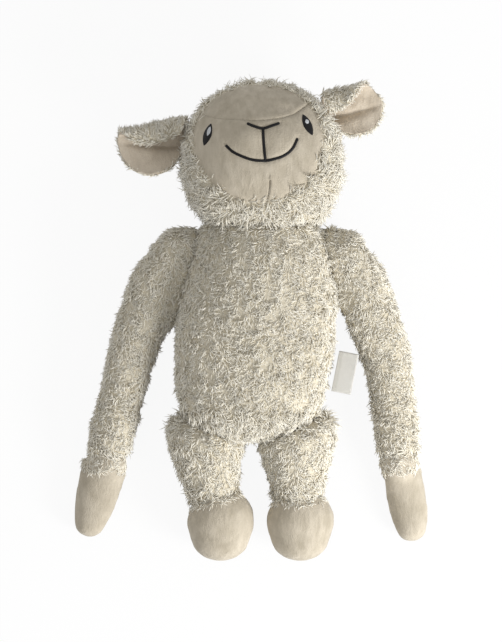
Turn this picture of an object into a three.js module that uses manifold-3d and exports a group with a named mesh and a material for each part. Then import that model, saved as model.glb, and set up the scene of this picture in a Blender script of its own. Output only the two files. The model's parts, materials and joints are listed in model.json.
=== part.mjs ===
// A stuffed toy with a curly fleece coat, lying on its back with its face up.
// Millimetres, +Z up. The head points along +Y, the feet along -Y, and the toy's own left is +X.
// Every soft part is a cloth cover over its own wad of filling. Covers are open where they are sewn on,
// and each joint is a rounded end in a matching cup, so that it can turn with the same gap all the way.
import * as THREE from 'three';
import { mergeVertices } from 'three/addons/utils/BufferGeometryUtils.js';
import Module from 'manifold-3d';

const wasm = await Module();
wasm.setup();

// Cloth, gaps and the floor
const clearance = 0.3;
const crumb = 0.05;
const fleeceThickness = 5;
const velourThickness = 2;
const velourInset = 3;
const seamGap = 0.3;
const restCut = 0.5;

// Torso: two axes across the body, and the half-widths between them
const neckToHip = 121;
const neckY = 56.5;
const neckX = 7.7;
const hipX = -1.3;
const neckRoll = 50;
const hipRoll = 46;
const neckHalfWidth = 66;
const chestHalfWidth = 73;
const bellyHalfWidth = 75;
const waistHalfWidth = 70;
const bellyRise = 2;
const torsoPower = 2.3;

// Shoulder seams: flat ovals on the torso's sides, leaning out towards the hips
const shoulderSeamHalfWidth = 61.2;
const shoulderSeamDrop = 5;
const shoulderLean = 12.5;
const shoulderHeight = 47;

// Head: measured from its centre, which lies ahead of the neck axis
const headAhead = 88;
const headOffsetX = 1;
const headHalfWidth = 74;
const headTop = 70;
const headBottom = 75;
const headFront = 60;
const headBack = 60;

// Face area: half ellipses above and below a level line, and the seam that parts the two panels
const faceOffsetX = -3.5;
const faceLevel = 17;
const faceHalfWidth = 59.5;
const faceRise = 49.5;
const facePanelDepth = 8;
const faceDrop = 58;
const faceSeam = [
  [-75, 46],
  [-43.5, 34.4],
  [-21.3, 32.6],
  [0.9, 31.7],
  [25.8, 36.6],
  [44.4, 49],
  [75, 72],
];
const chinDart = { top: [7.1, -21.6], bottom: [4.4, -44], width: 0.8 };

// Embroidery
const stitchRise = 1.2;
const stitchWidth = 2.5;
const eye = { long: 20, wide: 8, glintLong: 7, glintWide: 3.4, glintShift: 3.2 };
const leftEye = { at: [40, 29], lean: 24 };
const rightEye = { at: [-48.2, 20.2], lean: -18 };
const noseLine = [[-13.3, 30.3], [0.5, 26.4], [15.5, 30.3]];
const lipLine = [[0.8, 23], [1.3, 12], [3, 0.8]];
const mouthLine = [[-32, 11.3], [-18.1, 1.9], [3.2, -2.6], [19.5, 1.2], [31.4, 17]];

// Ears: a leaf with a cupped lower lobe and an upper lobe rolled over it, hung on a straight seam. The upper
// lobe rolls up over the first earCurlRun. At the tip its roll is tip times as tight. It is fullest at
// earFullest, from -1 at the root to 1 at the tip, and the spreads say how soon it narrows on either side
const earBead = 4;
const earHalfRoot = 20;
const earRootShare = 0.62;
const earCupRadius = 60;
const earRollStart = 6;
const earCurlRun = 6;
const earFullest = -0.3;
const earRootSpread = 0.6;
const earFlat = 0.02;
const earRim = 3;
const earRowsAlong = 10;
const earRowsAcross = 16;
const earUpper = 40;
const leftEar = { ahead: 41, length: 44, skew: 31, lower: 27, spread: 1.1, roll: 8.5, tip: 0.45 };
const rightEar = { ahead: 17.5, length: 53, skew: 20, lower: 35, spread: 0.95, roll: 8.5, tip: 1.3 };

// Arms: points along the middle of each arm, from the shoulder seam's centre
const armGirth = [
  { wide: 25, high: 25 },
  { wide: 26, high: 25.5 },
  { wide: 26, high: 25.5 },
  { wide: 24.5, high: 25 },
  { wide: 22.5, high: 23.5 },
  { wide: 21.5, high: 22 },
  { wide: 22.5, high: 22 },
  { wide: 20, high: 20 },
];
const armRoot = { inward: 12, up: 3 };
const leftArmRun = [[21, -8], [32, -44], [46, -78], [54, -109], [57.5, -141], [60.5, -162], [62.2, -183]];
const rightArmRun = [[22.5, -6], [35, -43], [50, -79], [57.5, -107], [65.5, -139], [71.5, -162], [75.5, -183]];
const armLifts = [20, 13, 5, 1.5, 0, 0, 0];
const wristBall = 20;
const handThickness = 24;
const leftHand = { length: 77, lean: 10, girth: [17, 17.5, 18, 17.5, 14] };
const rightHand = { length: 74, lean: 15.2, girth: [20, 20.5, 19.5, 18, 14] };

// Legs: short tapering tubes
const legRootBelow = 24;
const legRootCap = 12;
const legTopBelow = 40;
const ankleBelow = 79;
const ankleBall = 26;
const thighWide = 37;
const thighHigh = 34;
const legKnee = 0.45;
const legGirth = [
  { wide: 0.89 * thighWide, high: 0.735 * thighHigh },
  { wide: thighWide, high: thighHigh },
  { wide: (thighWide + ankleBall) / 2, high: (thighHigh + ankleBall) / 2 },
  { wide: ankleBall, high: ankleBall },
];
const footLength = 71;
const footStraightens = 1.6;
const footGirth = [8, 23.5, 31, 27];
const footThickness = [8, 21, 26, 22];
const leftLeg = { top: 40.5, ankle: 41.5, foot: 44 };
const rightLeg = { top: -39, ankle: -36, foot: -27 };

// Side label: a folded loop of ribbon in the left side seam
const labelLong = 36.5;
const labelOut = 17;
const labelPly = 0.4;
const labelGap = 0.8;
const labelBelowNeck = 101;

// Squeaker in the belly: base, reed, bellows and cap
const squeakerRadius = 22;
const squeakerWall = 1.6;
const squeakerBase = 12;
const squeakerCap = 7;
const bellowsHeight = 8;
const bellowsRadius = 17;
const bellowsFolds = 3;
const bellowsWall = 0.8;
const reedRadius = 4.5;
const reedLength = 9;
const reedFlange = 1.2;
const squeakerBelowNeck = 70;

// Mesh detail: each count is two more than a multiple of four, so that a form rests on a flat facet
const aroundBody = 22;
const aroundCore = 14;
const aroundLimb = 14;
const aroundLimbCore = 10;
const aroundBall = 18;
const aroundRoll = 22;

// Places worked out from the driving dimensions
const restHeight = (radius, around) => radius * Math.cos(Math.PI / around);
const hipY = neckY - neckToHip;
const torsoHeight = restHeight(neckRoll, aroundBody);
const hipHeight = restHeight(hipRoll, aroundBody);
const headX = neckX + headOffsetX;
const headY = neckY + headAhead;
const headZ = restHeight(headBack, aroundBody);
const seamHeight = neckRoll;
const labelY = neckY - labelBelowNeck;
const big = 1200;

const fleece = new THREE.MeshStandardMaterial({ color: 0xe2dac2, roughness: 0.95, metalness: 0 });
const velour = new THREE.MeshStandardMaterial({ color: 0xd8cbb3, roughness: 0.85, metalness: 0 });
const thread = new THREE.MeshStandardMaterial({ color: 0x17171a, roughness: 0.5, metalness: 0 });
const whiteThread = new THREE.MeshStandardMaterial({ color: 0xf2f2f0, roughness: 0.5, metalness: 0 });
const satin = new THREE.MeshStandardMaterial({ color: 0xf4f4f2, roughness: 0.4, metalness: 0 });
const filling = new THREE.MeshStandardMaterial({ color: 0xfafafa, roughness: 1, metalness: 0 });
const plastic = new THREE.MeshStandardMaterial({ color: 0xe9e6da, roughness: 0.4, metalness: 0 });
const reedPlastic = new THREE.MeshStandardMaterial({ color: 0xffffff, roughness: 0.35, metalness: 0 });

const v3 = (x, y, z) => new THREE.Vector3(x, y, z);
const radians = THREE.MathUtils.degToRad;
const across = v3(1, 0, 0);
const up = v3(0, 0, 1);

// Geometry to solid and back
function welded(geometry) {
  const bare = geometry.clone();
  bare.deleteAttribute('normal');
  bare.deleteAttribute('uv');
  return mergeVertices(bare, 1e-4);
}

function signedVolume(position, index) {
  const a = v3();
  const b = v3();
  const c = v3();
  let sum = 0;
  for (let i = 0; i < index.length; i += 3) {
    a.fromBufferAttribute(position, index[i]);
    b.fromBufferAttribute(position, index[i + 1]);
    c.fromBufferAttribute(position, index[i + 2]);
    sum += a.dot(b.cross(c));
  }
  return sum;
}

function solid(geometry) {
  const skin = welded(geometry);
  const triangles = Uint32Array.from(skin.index.array);
  if (signedVolume(skin.attributes.position, triangles) < 0) triangles.reverse();
  const vertices = Float32Array.from(skin.attributes.position.array);
  return new wasm.Manifold(new wasm.Mesh({ numProp: 3, vertProperties: vertices, triVerts: triangles }));
}

// Keeps the largest closed body, so that a cut leaves no crumbs
function whole(body) {
  const pieces = body.decompose();
  return pieces.reduce((best, piece) => (piece.volume() > best.volume() ? piece : best));
}

function named(name, body, material) {
  const mesh = body.getMesh();
  const geometry = new THREE.BufferGeometry();
  geometry.setAttribute('position', new THREE.BufferAttribute(new Float32Array(mesh.vertProperties), 3));
  geometry.setIndex(new THREE.BufferAttribute(new Uint32Array(mesh.triVerts), 1));
  const result = new THREE.Mesh(geometry, material);
  result.name = name;
  return result;
}

// The skin moved inwards along its own normals, or outwards by a negative depth
function inset(geometry, depth) {
  const skin = welded(geometry);
  skin.computeVertexNormals();
  const outwards = signedVolume(skin.attributes.position, skin.index.array) > 0 ? 1 : -1;
  const { position, normal } = skin.attributes;
  const point = v3();
  const direction = v3();
  for (let i = 0; i < position.count; i++) {
    point.fromBufferAttribute(position, i);
    direction.fromBufferAttribute(normal, i);
    point.addScaledVector(direction, -depth * outwards);
    position.setXYZ(i, point.x, point.y, point.z);
  }
  return skin;
}

// A large block whose face lies on a plane, filling the side that the normal points to
function halfSpace(point, normal) {
  const block = new THREE.BoxGeometry(big, big, big);
  block.translate(0, 0, big / 2);
  block.applyQuaternion(new THREE.Quaternion().setFromUnitVectors(up, normal.clone().normalize()));
  block.translate(point.x, point.y, point.z);
  return solid(block);
}

const floor = halfSpace(v3(0, 0, 0), up);
const onFloor = (body) => body.intersect(floor);
const lowered = (body) => body.translate([0, 0, -restCut]);

// Soft forms: a ball stretched over a row of rings, the first and last of them a point
const rounded = (value, power) => Math.sign(value) * Math.abs(value) ** (2 / power);

function form(rings, around) {
  const ball = new THREE.SphereGeometry(1, around, rings.length - 1);
  const { position } = ball.attributes;
  for (let i = 0; i < position.count; i++) {
    const ring = rings[Math.floor(i / (around + 1))];
    const angle = ((i % (around + 1)) / around) * 2 * Math.PI;
    const side = rounded(Math.cos(angle), ring.power) * ring.wide;
    const rise = rounded(Math.sin(angle), ring.power);
    const point = ring.at.clone().addScaledVector(ring.across, side);
    point.addScaledVector(ring.up, rise * (rise > 0 ? ring.front : ring.back));
    position.setXYZ(i, point.x, point.y, point.z);
  }
  return welded(ball);
}

// An ellipsoid that turns about an axis across the body
// Its facets lie inside the true shape, so it is drawn larger to leave the clearance everywhere
const cupFactor = (around) => 1 / Math.cos(Math.PI / around) ** 2;

function rollCup(centre, halfWidth, radius) {
  const ball = new THREE.SphereGeometry(cupFactor(aroundRoll), aroundRoll, aroundRoll / 2);
  ball.rotateZ(Math.PI / 2);
  ball.scale(halfWidth + clearance, radius + clearance, radius + clearance);
  ball.translate(centre.x, centre.y, centre.z);
  return lowered(solid(ball));
}

function ballCup(centre, radius) {
  const reach = (radius + clearance) * cupFactor(aroundBall);
  const ball = new THREE.SphereGeometry(reach, aroundBall, aroundBall / 2);
  ball.translate(centre.x, centre.y, centre.z);
  return lowered(solid(ball));
}

// Torso
const neckAxis = v3(neckX, neckY, torsoHeight);
const hipAxis = v3(hipX, hipY, hipHeight);

function torsoRings(capRows, middleRows) {
  const rings = [];
  for (let i = 0; i < capRows; i++) {
    const angle = (Math.PI / 2) * (1 - i / capRows);
    const at = neckAxis.clone().add(v3(0, neckRoll * Math.sin(angle), 0));
    const deep = neckRoll * Math.cos(angle);
    rings.push({ at, across, up, wide: neckHalfWidth * Math.cos(angle), front: deep, back: deep, power: 2 });
  }
  const widths = [neckHalfWidth, chestHalfWidth, bellyHalfWidth, waistHalfWidth];
  const curve = new THREE.SplineCurve(widths.map((w, i) => new THREE.Vector2(w, i)));
  for (let i = 0; i <= middleRows; i++) {
    const along = i / middleRows;
    const at = neckAxis.clone().lerp(hipAxis, along);
    const bulge = Math.sin(Math.PI * along);
    const deep = THREE.MathUtils.lerp(neckRoll, hipRoll, along);
    const power = 2 + (torsoPower - 2) * bulge;
    const wide = curve.getPoint(along).x;
    rings.push({ at, across, up, wide, front: deep + bellyRise * bulge, back: deep, power });
  }
  for (let i = 1; i <= capRows; i++) {
    const angle = (Math.PI / 2) * (i / capRows);
    const at = hipAxis.clone().add(v3(0, -hipRoll * Math.sin(angle), 0));
    const deep = hipRoll * Math.cos(angle);
    rings.push({ at, across, up, wide: waistHalfWidth * Math.cos(angle), front: deep, back: deep, power: 2 });
  }
  return rings;
}

// The plane of a shoulder seam: side is 1 for the toy's left and -1 for its right
function shoulderPlane(side) {
  const lean = radians(shoulderLean);
  const normal = v3(side * Math.cos(lean), Math.sin(lean), 0);
  const point = v3(neckX + side * shoulderSeamHalfWidth, neckY + shoulderSeamDrop, shoulderHeight);
  return { point, normal };
}

const shoulders = { left: shoulderPlane(1), right: shoulderPlane(-1) };

function betweenShoulders(body, depth) {
  let result = body;
  for (const { point, normal } of Object.values(shoulders)) {
    result = result.subtract(halfSpace(point.clone().addScaledVector(normal, -depth), normal));
  }
  return result;
}

const capRings = 4;
const middleRings = 6;
const torsoSkin = form(torsoRings(capRings, middleRings), aroundBody);
const torsoCore = form(torsoRings(capRings - 1, middleRings - 2), aroundCore);
const torsoOuter = lowered(betweenShoulders(solid(torsoSkin), 0));
const torsoCavity = lowered(betweenShoulders(solid(inset(torsoCore, fleeceThickness)), fleeceThickness));
const torsoFill = lowered(
  betweenShoulders(solid(inset(torsoCore, fleeceThickness + clearance)), fleeceThickness + clearance),
);
const torsoShell = onFloor(torsoOuter).subtract(torsoCavity);
const aboveSeam = halfSpace(v3(0, 0, seamHeight + seamGap / 2), up);
const belowSeam = halfSpace(v3(0, 0, seamHeight - seamGap / 2), v3(0, 0, -1));

// Squeaker, stacked along Z with its waist on the side seam's level
const squeakerAt = v3(neckX - 3, neckY - squeakerBelowNeck, seamHeight - squeakerBase);

function turned(points, around = 24) {
  const lathe = new THREE.LatheGeometry(points.map(([r, z]) => new THREE.Vector2(r, z)), around);
  lathe.rotateX(Math.PI / 2);
  lathe.translate(squeakerAt.x, squeakerAt.y, squeakerAt.z);
  return lathe;
}

const reedBore = reedRadius + clearance;
const baseProfile = [
  [reedBore, 0],
  [squeakerRadius, 0],
  [squeakerRadius, squeakerBase],
  [bellowsRadius - squeakerWall, squeakerBase],
  [bellowsRadius - squeakerWall, squeakerBase - squeakerWall],
  [squeakerRadius - squeakerWall, squeakerBase - squeakerWall],
  [squeakerRadius - squeakerWall, squeakerWall],
  [reedBore, squeakerWall],
  [reedBore, 0],
];
const bellowsBottom = squeakerBase + clearance;
const bellowsTop = bellowsBottom + bellowsHeight;
const capBottom = bellowsTop + clearance;
const capTop = capBottom + squeakerCap;
const capProfile = [
  [bellowsRadius - squeakerWall, capBottom],
  [squeakerRadius, capBottom],
  [squeakerRadius, capTop - squeakerWall],
  [squeakerRadius - squeakerWall, capTop],
  [0, capTop],
  [0, capTop - squeakerWall],
  [squeakerRadius - squeakerWall, capTop - squeakerWall],
  [squeakerRadius - squeakerWall, capBottom + squeakerWall],
  [bellowsRadius - squeakerWall, capBottom + squeakerWall],
  [bellowsRadius - squeakerWall, capBottom],
];

function bellowsProfile() {
  const outside = [];
  const inside = [];
  const steps = bellowsFolds * 2;
  for (let i = 0; i <= steps; i++) {
    const z = bellowsBottom + (bellowsHeight * i) / steps;
    const radius = bellowsRadius + (i % 2 ? squeakerWall : 0);
    outside.push([radius, z]);
    inside.unshift([radius - bellowsWall, z]);
  }
  return [...outside, ...inside, outside[0]];
}

const reedFlangeRadius = reedRadius + 1.5;
const reedProfile = [
  [0, -reedFlange - clearance],
  [reedFlangeRadius, -reedFlange - clearance],
  [reedFlangeRadius, -clearance],
  [reedRadius, -clearance],
  [reedRadius, reedLength],
  [0, reedLength],
];

function squeakerPocket() {
  const radius = squeakerRadius + clearance;
  const low = -reedFlange - 2 * clearance;
  const high = capTop + clearance;
  return solid(turned([[0, low], [radius, low], [radius, high], [0, high]]));
}

const pocket = squeakerPocket();

// Head
function headWide(ahead) {
  const reach = ahead > 0 ? headTop : headBottom;
  const power = ahead > 0 ? 2 : 2.3;
  return headHalfWidth * (1 - Math.min(1, Math.abs(ahead) / reach) ** power) ** (1 / power);
}

function headRings(rows) {
  const rings = [];
  for (let i = 0; i <= rows; i++) {
    const angle = Math.PI / 2 - (Math.PI * i) / rows;
    const ahead = Math.sin(angle) * (angle > 0 ? headTop : headBottom);
    const deep = Math.cos(angle);
    rings.push({
      at: v3(headX, headY + ahead, headZ),
      across,
      up,
      wide: i % rows === 0 ? 0 : headWide(ahead),
      front: headFront * deep,
      back: headBack * deep,
      power: 2 + 0.3 * deep,
    });
  }
  return rings;
}

const headSkin = form(headRings(12), aroundBody);
const headCore = form(headRings(10), aroundCore);
const neckCup = rollCup(neckAxis, neckHalfWidth, neckRoll);
const headBody = (geometry) => onFloor(lowered(solid(geometry))).subtract(neckCup);
const headOuter = headBody(headSkin);
const headCloth = headBody(inset(headSkin, velourInset));
const headCavity = lowered(solid(inset(headCore, fleeceThickness)));
const headFill = headBody(inset(headCore, fleeceThickness + clearance));

const inFace = ([x, y]) => [headX + x, headY + y];

function prism(shape) {
  const block = new THREE.ExtrudeGeometry(shape, { depth: big, bevelEnabled: false, curveSegments: 12 });
  block.translate(0, 0, headZ + facePanelDepth);
  return solid(block);
}

function faceShape(grow) {
  const [x, y] = inFace([faceOffsetX, faceLevel]);
  const wide = faceHalfWidth + grow;
  const shape = new THREE.Shape();
  shape.moveTo(x + wide, y);
  shape.absellipse(x, y, wide, faceRise + grow, 0, Math.PI, false, 0);
  shape.absellipse(x, y, wide, faceDrop + grow, Math.PI, 2 * Math.PI, false, 0);
  return shape;
}

// Everything above the seam between the panels, shifted along Y
function aboveFaceSeam(shift) {
  const curve = new THREE.SplineCurve(faceSeam.map((point) => new THREE.Vector2(...inFace(point))));
  const line = curve.getPoints(24);
  line.forEach((point) => point.setY(point.y + shift));
  const last = line[line.length - 1];
  const corners = [new THREE.Vector2(last.x, last.y + big), new THREE.Vector2(line[0].x, last.y + big)];
  return prism(new THREE.Shape([...line, ...corners]));
}

// A line of stitches of constant width along a smooth curve
function strokeShape(points, width) {
  const curve = new THREE.SplineCurve(points.map((point) => new THREE.Vector2(...inFace(point))));
  const steps = (points.length - 1) * 4;
  const left = [];
  const right = [];
  for (let i = 0; i <= steps; i++) {
    const point = curve.getPoint(i / steps);
    const tangent = curve.getTangent(i / steps);
    const normal = new THREE.Vector2(-tangent.y, tangent.x).multiplyScalar(width / 2);
    left.push(point.clone().add(normal));
    right.unshift(point.clone().sub(normal));
  }
  const startTangent = curve.getTangent(0).multiplyScalar(width / 2);
  const endTangent = curve.getTangent(1).multiplyScalar(width / 2);
  const tip = curve.getPoint(1).add(endTangent);
  const tail = curve.getPoint(0).sub(startTangent);
  return new THREE.Shape([...left, tip, ...right, tail]);
}

function ovalShape(centre, long, wide, lean) {
  const [x, y] = inFace(centre);
  const shape = new THREE.Shape();
  const turn = radians(90 + lean);
  shape.absellipse(x, y, long / 2, wide / 2, 0, 2 * Math.PI, false, turn);
  return shape;
}

function chinDartShape() {
  const from = chinDart.top;
  const to = chinDart.bottom;
  return strokeShape([from, [(from[0] + to[0]) / 2 + 0.6, (from[1] + to[1]) / 2], to], chinDart.width);
}

const clothShell = headCloth.subtract(headCavity);
const faceCut = prism(faceShape(seamGap / 2));
const faceArea = prism(faceShape(-seamGap / 2));
const headHood = headOuter.subtract(headCavity).subtract(faceCut);
const facePanel = clothShell
  .intersect(faceArea)
  .subtract(aboveFaceSeam(-seamGap / 2))
  .subtract(prism(chinDartShape()));
const foreheadPanel = clothShell.intersect(faceArea).intersect(aboveFaceSeam(seamGap / 2));

// Embroidery lies on the face like a thin shell
const stitchShell = lowered(solid(inset(headSkin, velourInset - clearance - stitchRise))).subtract(
  lowered(solid(inset(headSkin, velourInset - clearance))),
);
const stitched = (shape) => whole(stitchShell.intersect(prism(shape)));

function eyeParts(place) {
  const lean = radians(place.lean);
  const shift = eye.glintShift;
  const glintAt = [place.at[0] - Math.sin(lean) * shift, place.at[1] + Math.cos(lean) * shift];
  const hole = ovalShape(glintAt, eye.glintLong + 2 * clearance, eye.glintWide + 2 * clearance, place.lean);
  const eyeBody = stitched(ovalShape(place.at, eye.long, eye.wide, place.lean)).subtract(prism(hole));
  const glint = stitched(ovalShape(glintAt, eye.glintLong, eye.glintWide, place.lean));
  return { eyeBody, glint };
}

// Ears
function earPlace(side, ear) {
  const edge = headWide(ear.ahead);
  const normal = v3((side * edge) / headHalfWidth ** 2, ear.ahead / headTop ** 2, 0).normalize();
  const root = v3(headX + side * edge, headY + ear.ahead, headZ - restCut);
  root.addScaledVector(normal, earBead + clearance);
  const seam = v3(-normal.y, normal.x, 0).multiplyScalar(side);
  const along = normal.clone().applyAxisAngle(up, -side * radians(ear.skew));
  const upper = v3(-along.y, along.x, 0).multiplyScalar(side);
  return { root, normal, seam, along, upper };
}

// How far the upper lobe is rolled up, a along the ear
function earCurl(a, ear) {
  const rolled = THREE.MathUtils.clamp(a / earCurlRun, 0, 1);
  const towardsTip = THREE.MathUtils.clamp((a - earCurlRun) / (ear.length - earCurlRun), 0, 1);
  return Math.max(rolled * THREE.MathUtils.lerp(1, ear.tip, towardsTip), earFlat);
}

// Across the ear: a shallow cup, then the roll of the upper lobe
function earSection(b, roll, curl) {
  if (b <= earRollStart) {
    const radius = earCupRadius / Math.min(curl, 1);
    const angle = b / radius;
    return { side: radius * Math.sin(angle), lift: radius * (1 - Math.cos(angle)), angle };
  }
  const start = earSection(earRollStart, roll, curl);
  const radius = roll / curl;
  const angle = start.angle + (b - earRollStart) / radius;
  const side = start.side + radius * (Math.sin(angle) - Math.sin(start.angle));
  const lift = start.lift + radius * (Math.cos(start.angle) - Math.cos(angle));
  return { side, lift, angle };
}

function earLayer(place, ear, rim, low, high) {
  const sheet = new THREE.BoxGeometry(2, 2, 1, earRowsAlong, earRowsAcross, 1);
  const { position } = sheet.attributes;
  const rootReach = Math.sqrt(1 - earRootShare ** 2);
  const halfLength = ear.length / (1 + rootReach);
  const centre = halfLength * rootReach;
  for (let i = 0; i < position.count; i++) {
    const u = position.getX(i) * Math.sqrt(1 - position.getY(i) ** 2 / 2);
    const v = position.getY(i) * Math.sqrt(1 - position.getX(i) ** 2 / 2);
    const spread = u > earFullest ? ear.spread : earRootSpread;
    const fullness = Math.exp(-(((u - earFullest) / spread) ** 2));
    const width = v > 0 ? earUpper * fullness : ear.lower;
    const a = centre + (halfLength - rim) * u;
    const b = (width - rim) * v;
    const { side, lift, angle } = earSection(b, ear.roll, earCurl(a, ear));
    const offset = (low + high) / 2 + (high - low) * position.getZ(i);
    const point = place.root.clone().addScaledVector(place.along, a);
    point.addScaledVector(place.upper, side - Math.sin(angle) * offset);
    point.addScaledVector(up, lift + Math.cos(angle) * offset);
    position.setXYZ(i, point.x, point.y, point.z);
  }
  return solid(sheet);
}

function beadBody(place, grow) {
  const bead = new THREE.CylinderGeometry(earBead + grow, earBead + grow, 2 * (earHalfRoot + grow), 12);
  bead.applyQuaternion(new THREE.Quaternion().setFromUnitVectors(v3(0, 1, 0), place.seam));
  bead.translate(place.root.x, place.root.y, place.root.z);
  return solid(bead);
}

function earParts(side, ear) {
  const place = earPlace(side, ear);
  const outside = halfSpace(place.root, place.normal);
  const back = earLayer(place, ear, 0, -fleeceThickness, 0);
  const backGrown = earLayer(place, ear, 0, -fleeceThickness, clearance);
  const lining = earLayer(place, ear, earRim, -fleeceThickness / 2, clearance + velourThickness);
  const fleeceBody = whole(back.intersect(outside).add(beadBody(place, 0)));
  const sewnAway = backGrown.add(back).add(beadBody(place, clearance));
  const liningBody = whole(lining.intersect(outside).subtract(sewnAway).simplify(crumb));
  return { fleeceBody, liningBody };
}

// Limbs: rings along a smooth centre line, with round ends
function limbRings({ points, girths, startCap, endBall, middleRows, capRows, power }) {
  const spine = new THREE.CatmullRomCurve3(points);
  const size = new THREE.CatmullRomCurve3(
    girths.map(({ wide, high }) => v3(wide, high, 0)),
    false,
    'catmullrom',
  );
  const rings = [];
  const ringAt = (t, shift, shrink, ball) => {
    const forward = spine.getTangent(t);
    const sideways = forward.clone().cross(up).normalize();
    const upwards = sideways.clone().cross(forward).normalize();
    const { x: wide, y: high } = size.getPoint(t);
    const at = spine.getPoint(t).addScaledVector(forward, shift);
    const half = ball ? ball * shrink : high * shrink;
    return {
      at,
      across: sideways,
      up: upwards,
      wide: ball ? ball * shrink : wide * shrink,
      front: half,
      back: half,
      power,
    };
  };
  for (let i = 0; i < capRows; i++) {
    const angle = (Math.PI / 2) * (1 - i / capRows);
    rings.push(ringAt(0, -startCap * Math.sin(angle), Math.cos(angle)));
  }
  for (let i = 0; i < middleRows; i++) {
    rings.push(ringAt(i / middleRows, 0, 1));
  }
  for (let i = 0; i <= capRows; i++) {
    const angle = (Math.PI / 2) * (i / capRows);
    rings.push(ringAt(1, endBall.long * Math.sin(angle), Math.cos(angle), endBall.round));
  }
  rings[0].wide = 0;
  rings[0].front = 0;
  rings[0].back = 0;
  const last = rings[rings.length - 1];
  last.wide = 0;
  last.front = 0;
  last.back = 0;
  return rings;
}

// A limb is a cover with a wall, and the filling inside it, both trimmed by the same cut
function stuffed(limb, wall, trim) {
  const skin = form(limbRings({ ...limb, middleRows: limb.rows, capRows: 3 }), aroundLimb);
  const core = form(limbRings({ ...limb, middleRows: Math.ceil(limb.rows / 2), capRows: 2 }), aroundLimbCore);
  const outer = onFloor(lowered(solid(skin)));
  const cavity = lowered(solid(inset(core, wall)));
  const fill = onFloor(lowered(solid(inset(core, wall + clearance))));
  return { cover: whole(trim(outer.subtract(cavity))), wad: whole(trim(fill)) };
}

function armParts(shoulder, side, run) {
  const seam = shoulder.point;
  const inner = seam.clone().addScaledVector(shoulder.normal, -armRoot.inward).add(v3(0, armRoot.up, 0));
  const places = run.map(([x, y], i) => {
    const height = restHeight(armGirth[i + 1].high, aroundLimb) + armLifts[i];
    return v3(seam.x + side * x, seam.y + y, height);
  });
  const points = [inner, ...places];
  const face = seam.clone().addScaledVector(shoulder.normal, clearance);
  const outside = halfSpace(face, shoulder.normal);
  const limb = {
    points,
    girths: armGirth,
    startCap: armGirth[0].high,
    endBall: { long: wristBall, round: wristBall },
    rows: 9,
    power: 2,
  };
  const wrist = points[points.length - 1].clone();
  return { ...stuffed(limb, fleeceThickness, (body) => body.intersect(outside)), wrist };
}

function handParts(wrist, side, hand) {
  const forward = v3(side * Math.sin(radians(hand.lean)), -Math.cos(radians(hand.lean)), 0);
  const low = restHeight(handThickness / 2, aroundLimb);
  const points = hand.girth.map((wide, i) => {
    const reach = (i / (hand.girth.length - 1)) * (hand.length - handThickness / 2);
    const drop = Math.min(1, reach / (hand.length / 2));
    const point = wrist.clone().addScaledVector(forward, reach);
    return point.setZ(THREE.MathUtils.lerp(wrist.z, low, drop));
  });
  const limb = {
    points,
    girths: hand.girth.map((wide) => ({ wide, high: handThickness / 2 })),
    startCap: handThickness / 2,
    endBall: { long: handThickness / 2, round: 0 },
    rows: 5,
    power: 2,
  };
  const cup = ballCup(wrist, wristBall);
  return stuffed(limb, velourThickness, (body) => body.subtract(cup));
}

function legParts(leg) {
  const heights = legGirth.map(({ high }) => restHeight(high, aroundLimb));
  const xs = [leg.top, leg.top, THREE.MathUtils.lerp(leg.top, leg.ankle, legKnee), leg.ankle];
  const ys = [legRootBelow, legTopBelow, THREE.MathUtils.lerp(legTopBelow, ankleBelow, legKnee), ankleBelow];
  const points = heights.map((z, i) => v3(hipX + xs[i], hipY - ys[i], z));
  points[0].z = points[1].z;
  const ankle = points[points.length - 1];
  const limb = {
    points,
    girths: legGirth,
    startCap: legRootCap,
    endBall: { long: ankleBall, round: ankleBall },
    rows: 6,
    power: 2,
  };
  const hipCup = rollCup(hipAxis, waistHalfWidth, hipRoll);
  return { ...stuffed(limb, fleeceThickness, (body) => body.subtract(hipCup)), ankle };
}

function footParts(ankle, leg) {
  const toeX = hipX + leg.foot;
  const points = footGirth.map((wide, i) => {
    const share = i / (footGirth.length - 1);
    const reach = share * (footLength - footThickness[footThickness.length - 1]);
    const x = THREE.MathUtils.lerp(ankle.x, toeX, Math.min(1, share * footStraightens));
    return v3(x, ankle.y - reach, restHeight(Math.max(ankleBall, footThickness[i]), aroundLimb));
  });
  const limb = {
    points,
    girths: footGirth.map((wide, i) => ({ wide, high: footThickness[i] })),
    startCap: 10,
    endBall: { long: footThickness[footThickness.length - 1], round: 0 },
    rows: 5,
    power: 2,
  };
  const cup = ballCup(ankle, ankleBall);
  return stuffed(limb, velourThickness, (body) => body.subtract(cup));
}

// The torso's left outline at a place along the body, between the rings on either side of it
function leftOutline(y) {
  const rings = torsoRings(capRings, middleRings);
  const next = rings.findIndex((ring) => ring.at.y < y);
  const [above, below] = [rings[next - 1], rings[next]];
  const share = (above.at.y - y) / (above.at.y - below.at.y);
  const x = THREE.MathUtils.lerp(above.at.x + above.wide, below.at.x + below.wide, share);
  return v3(x, y, seamHeight - restCut);
}

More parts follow.
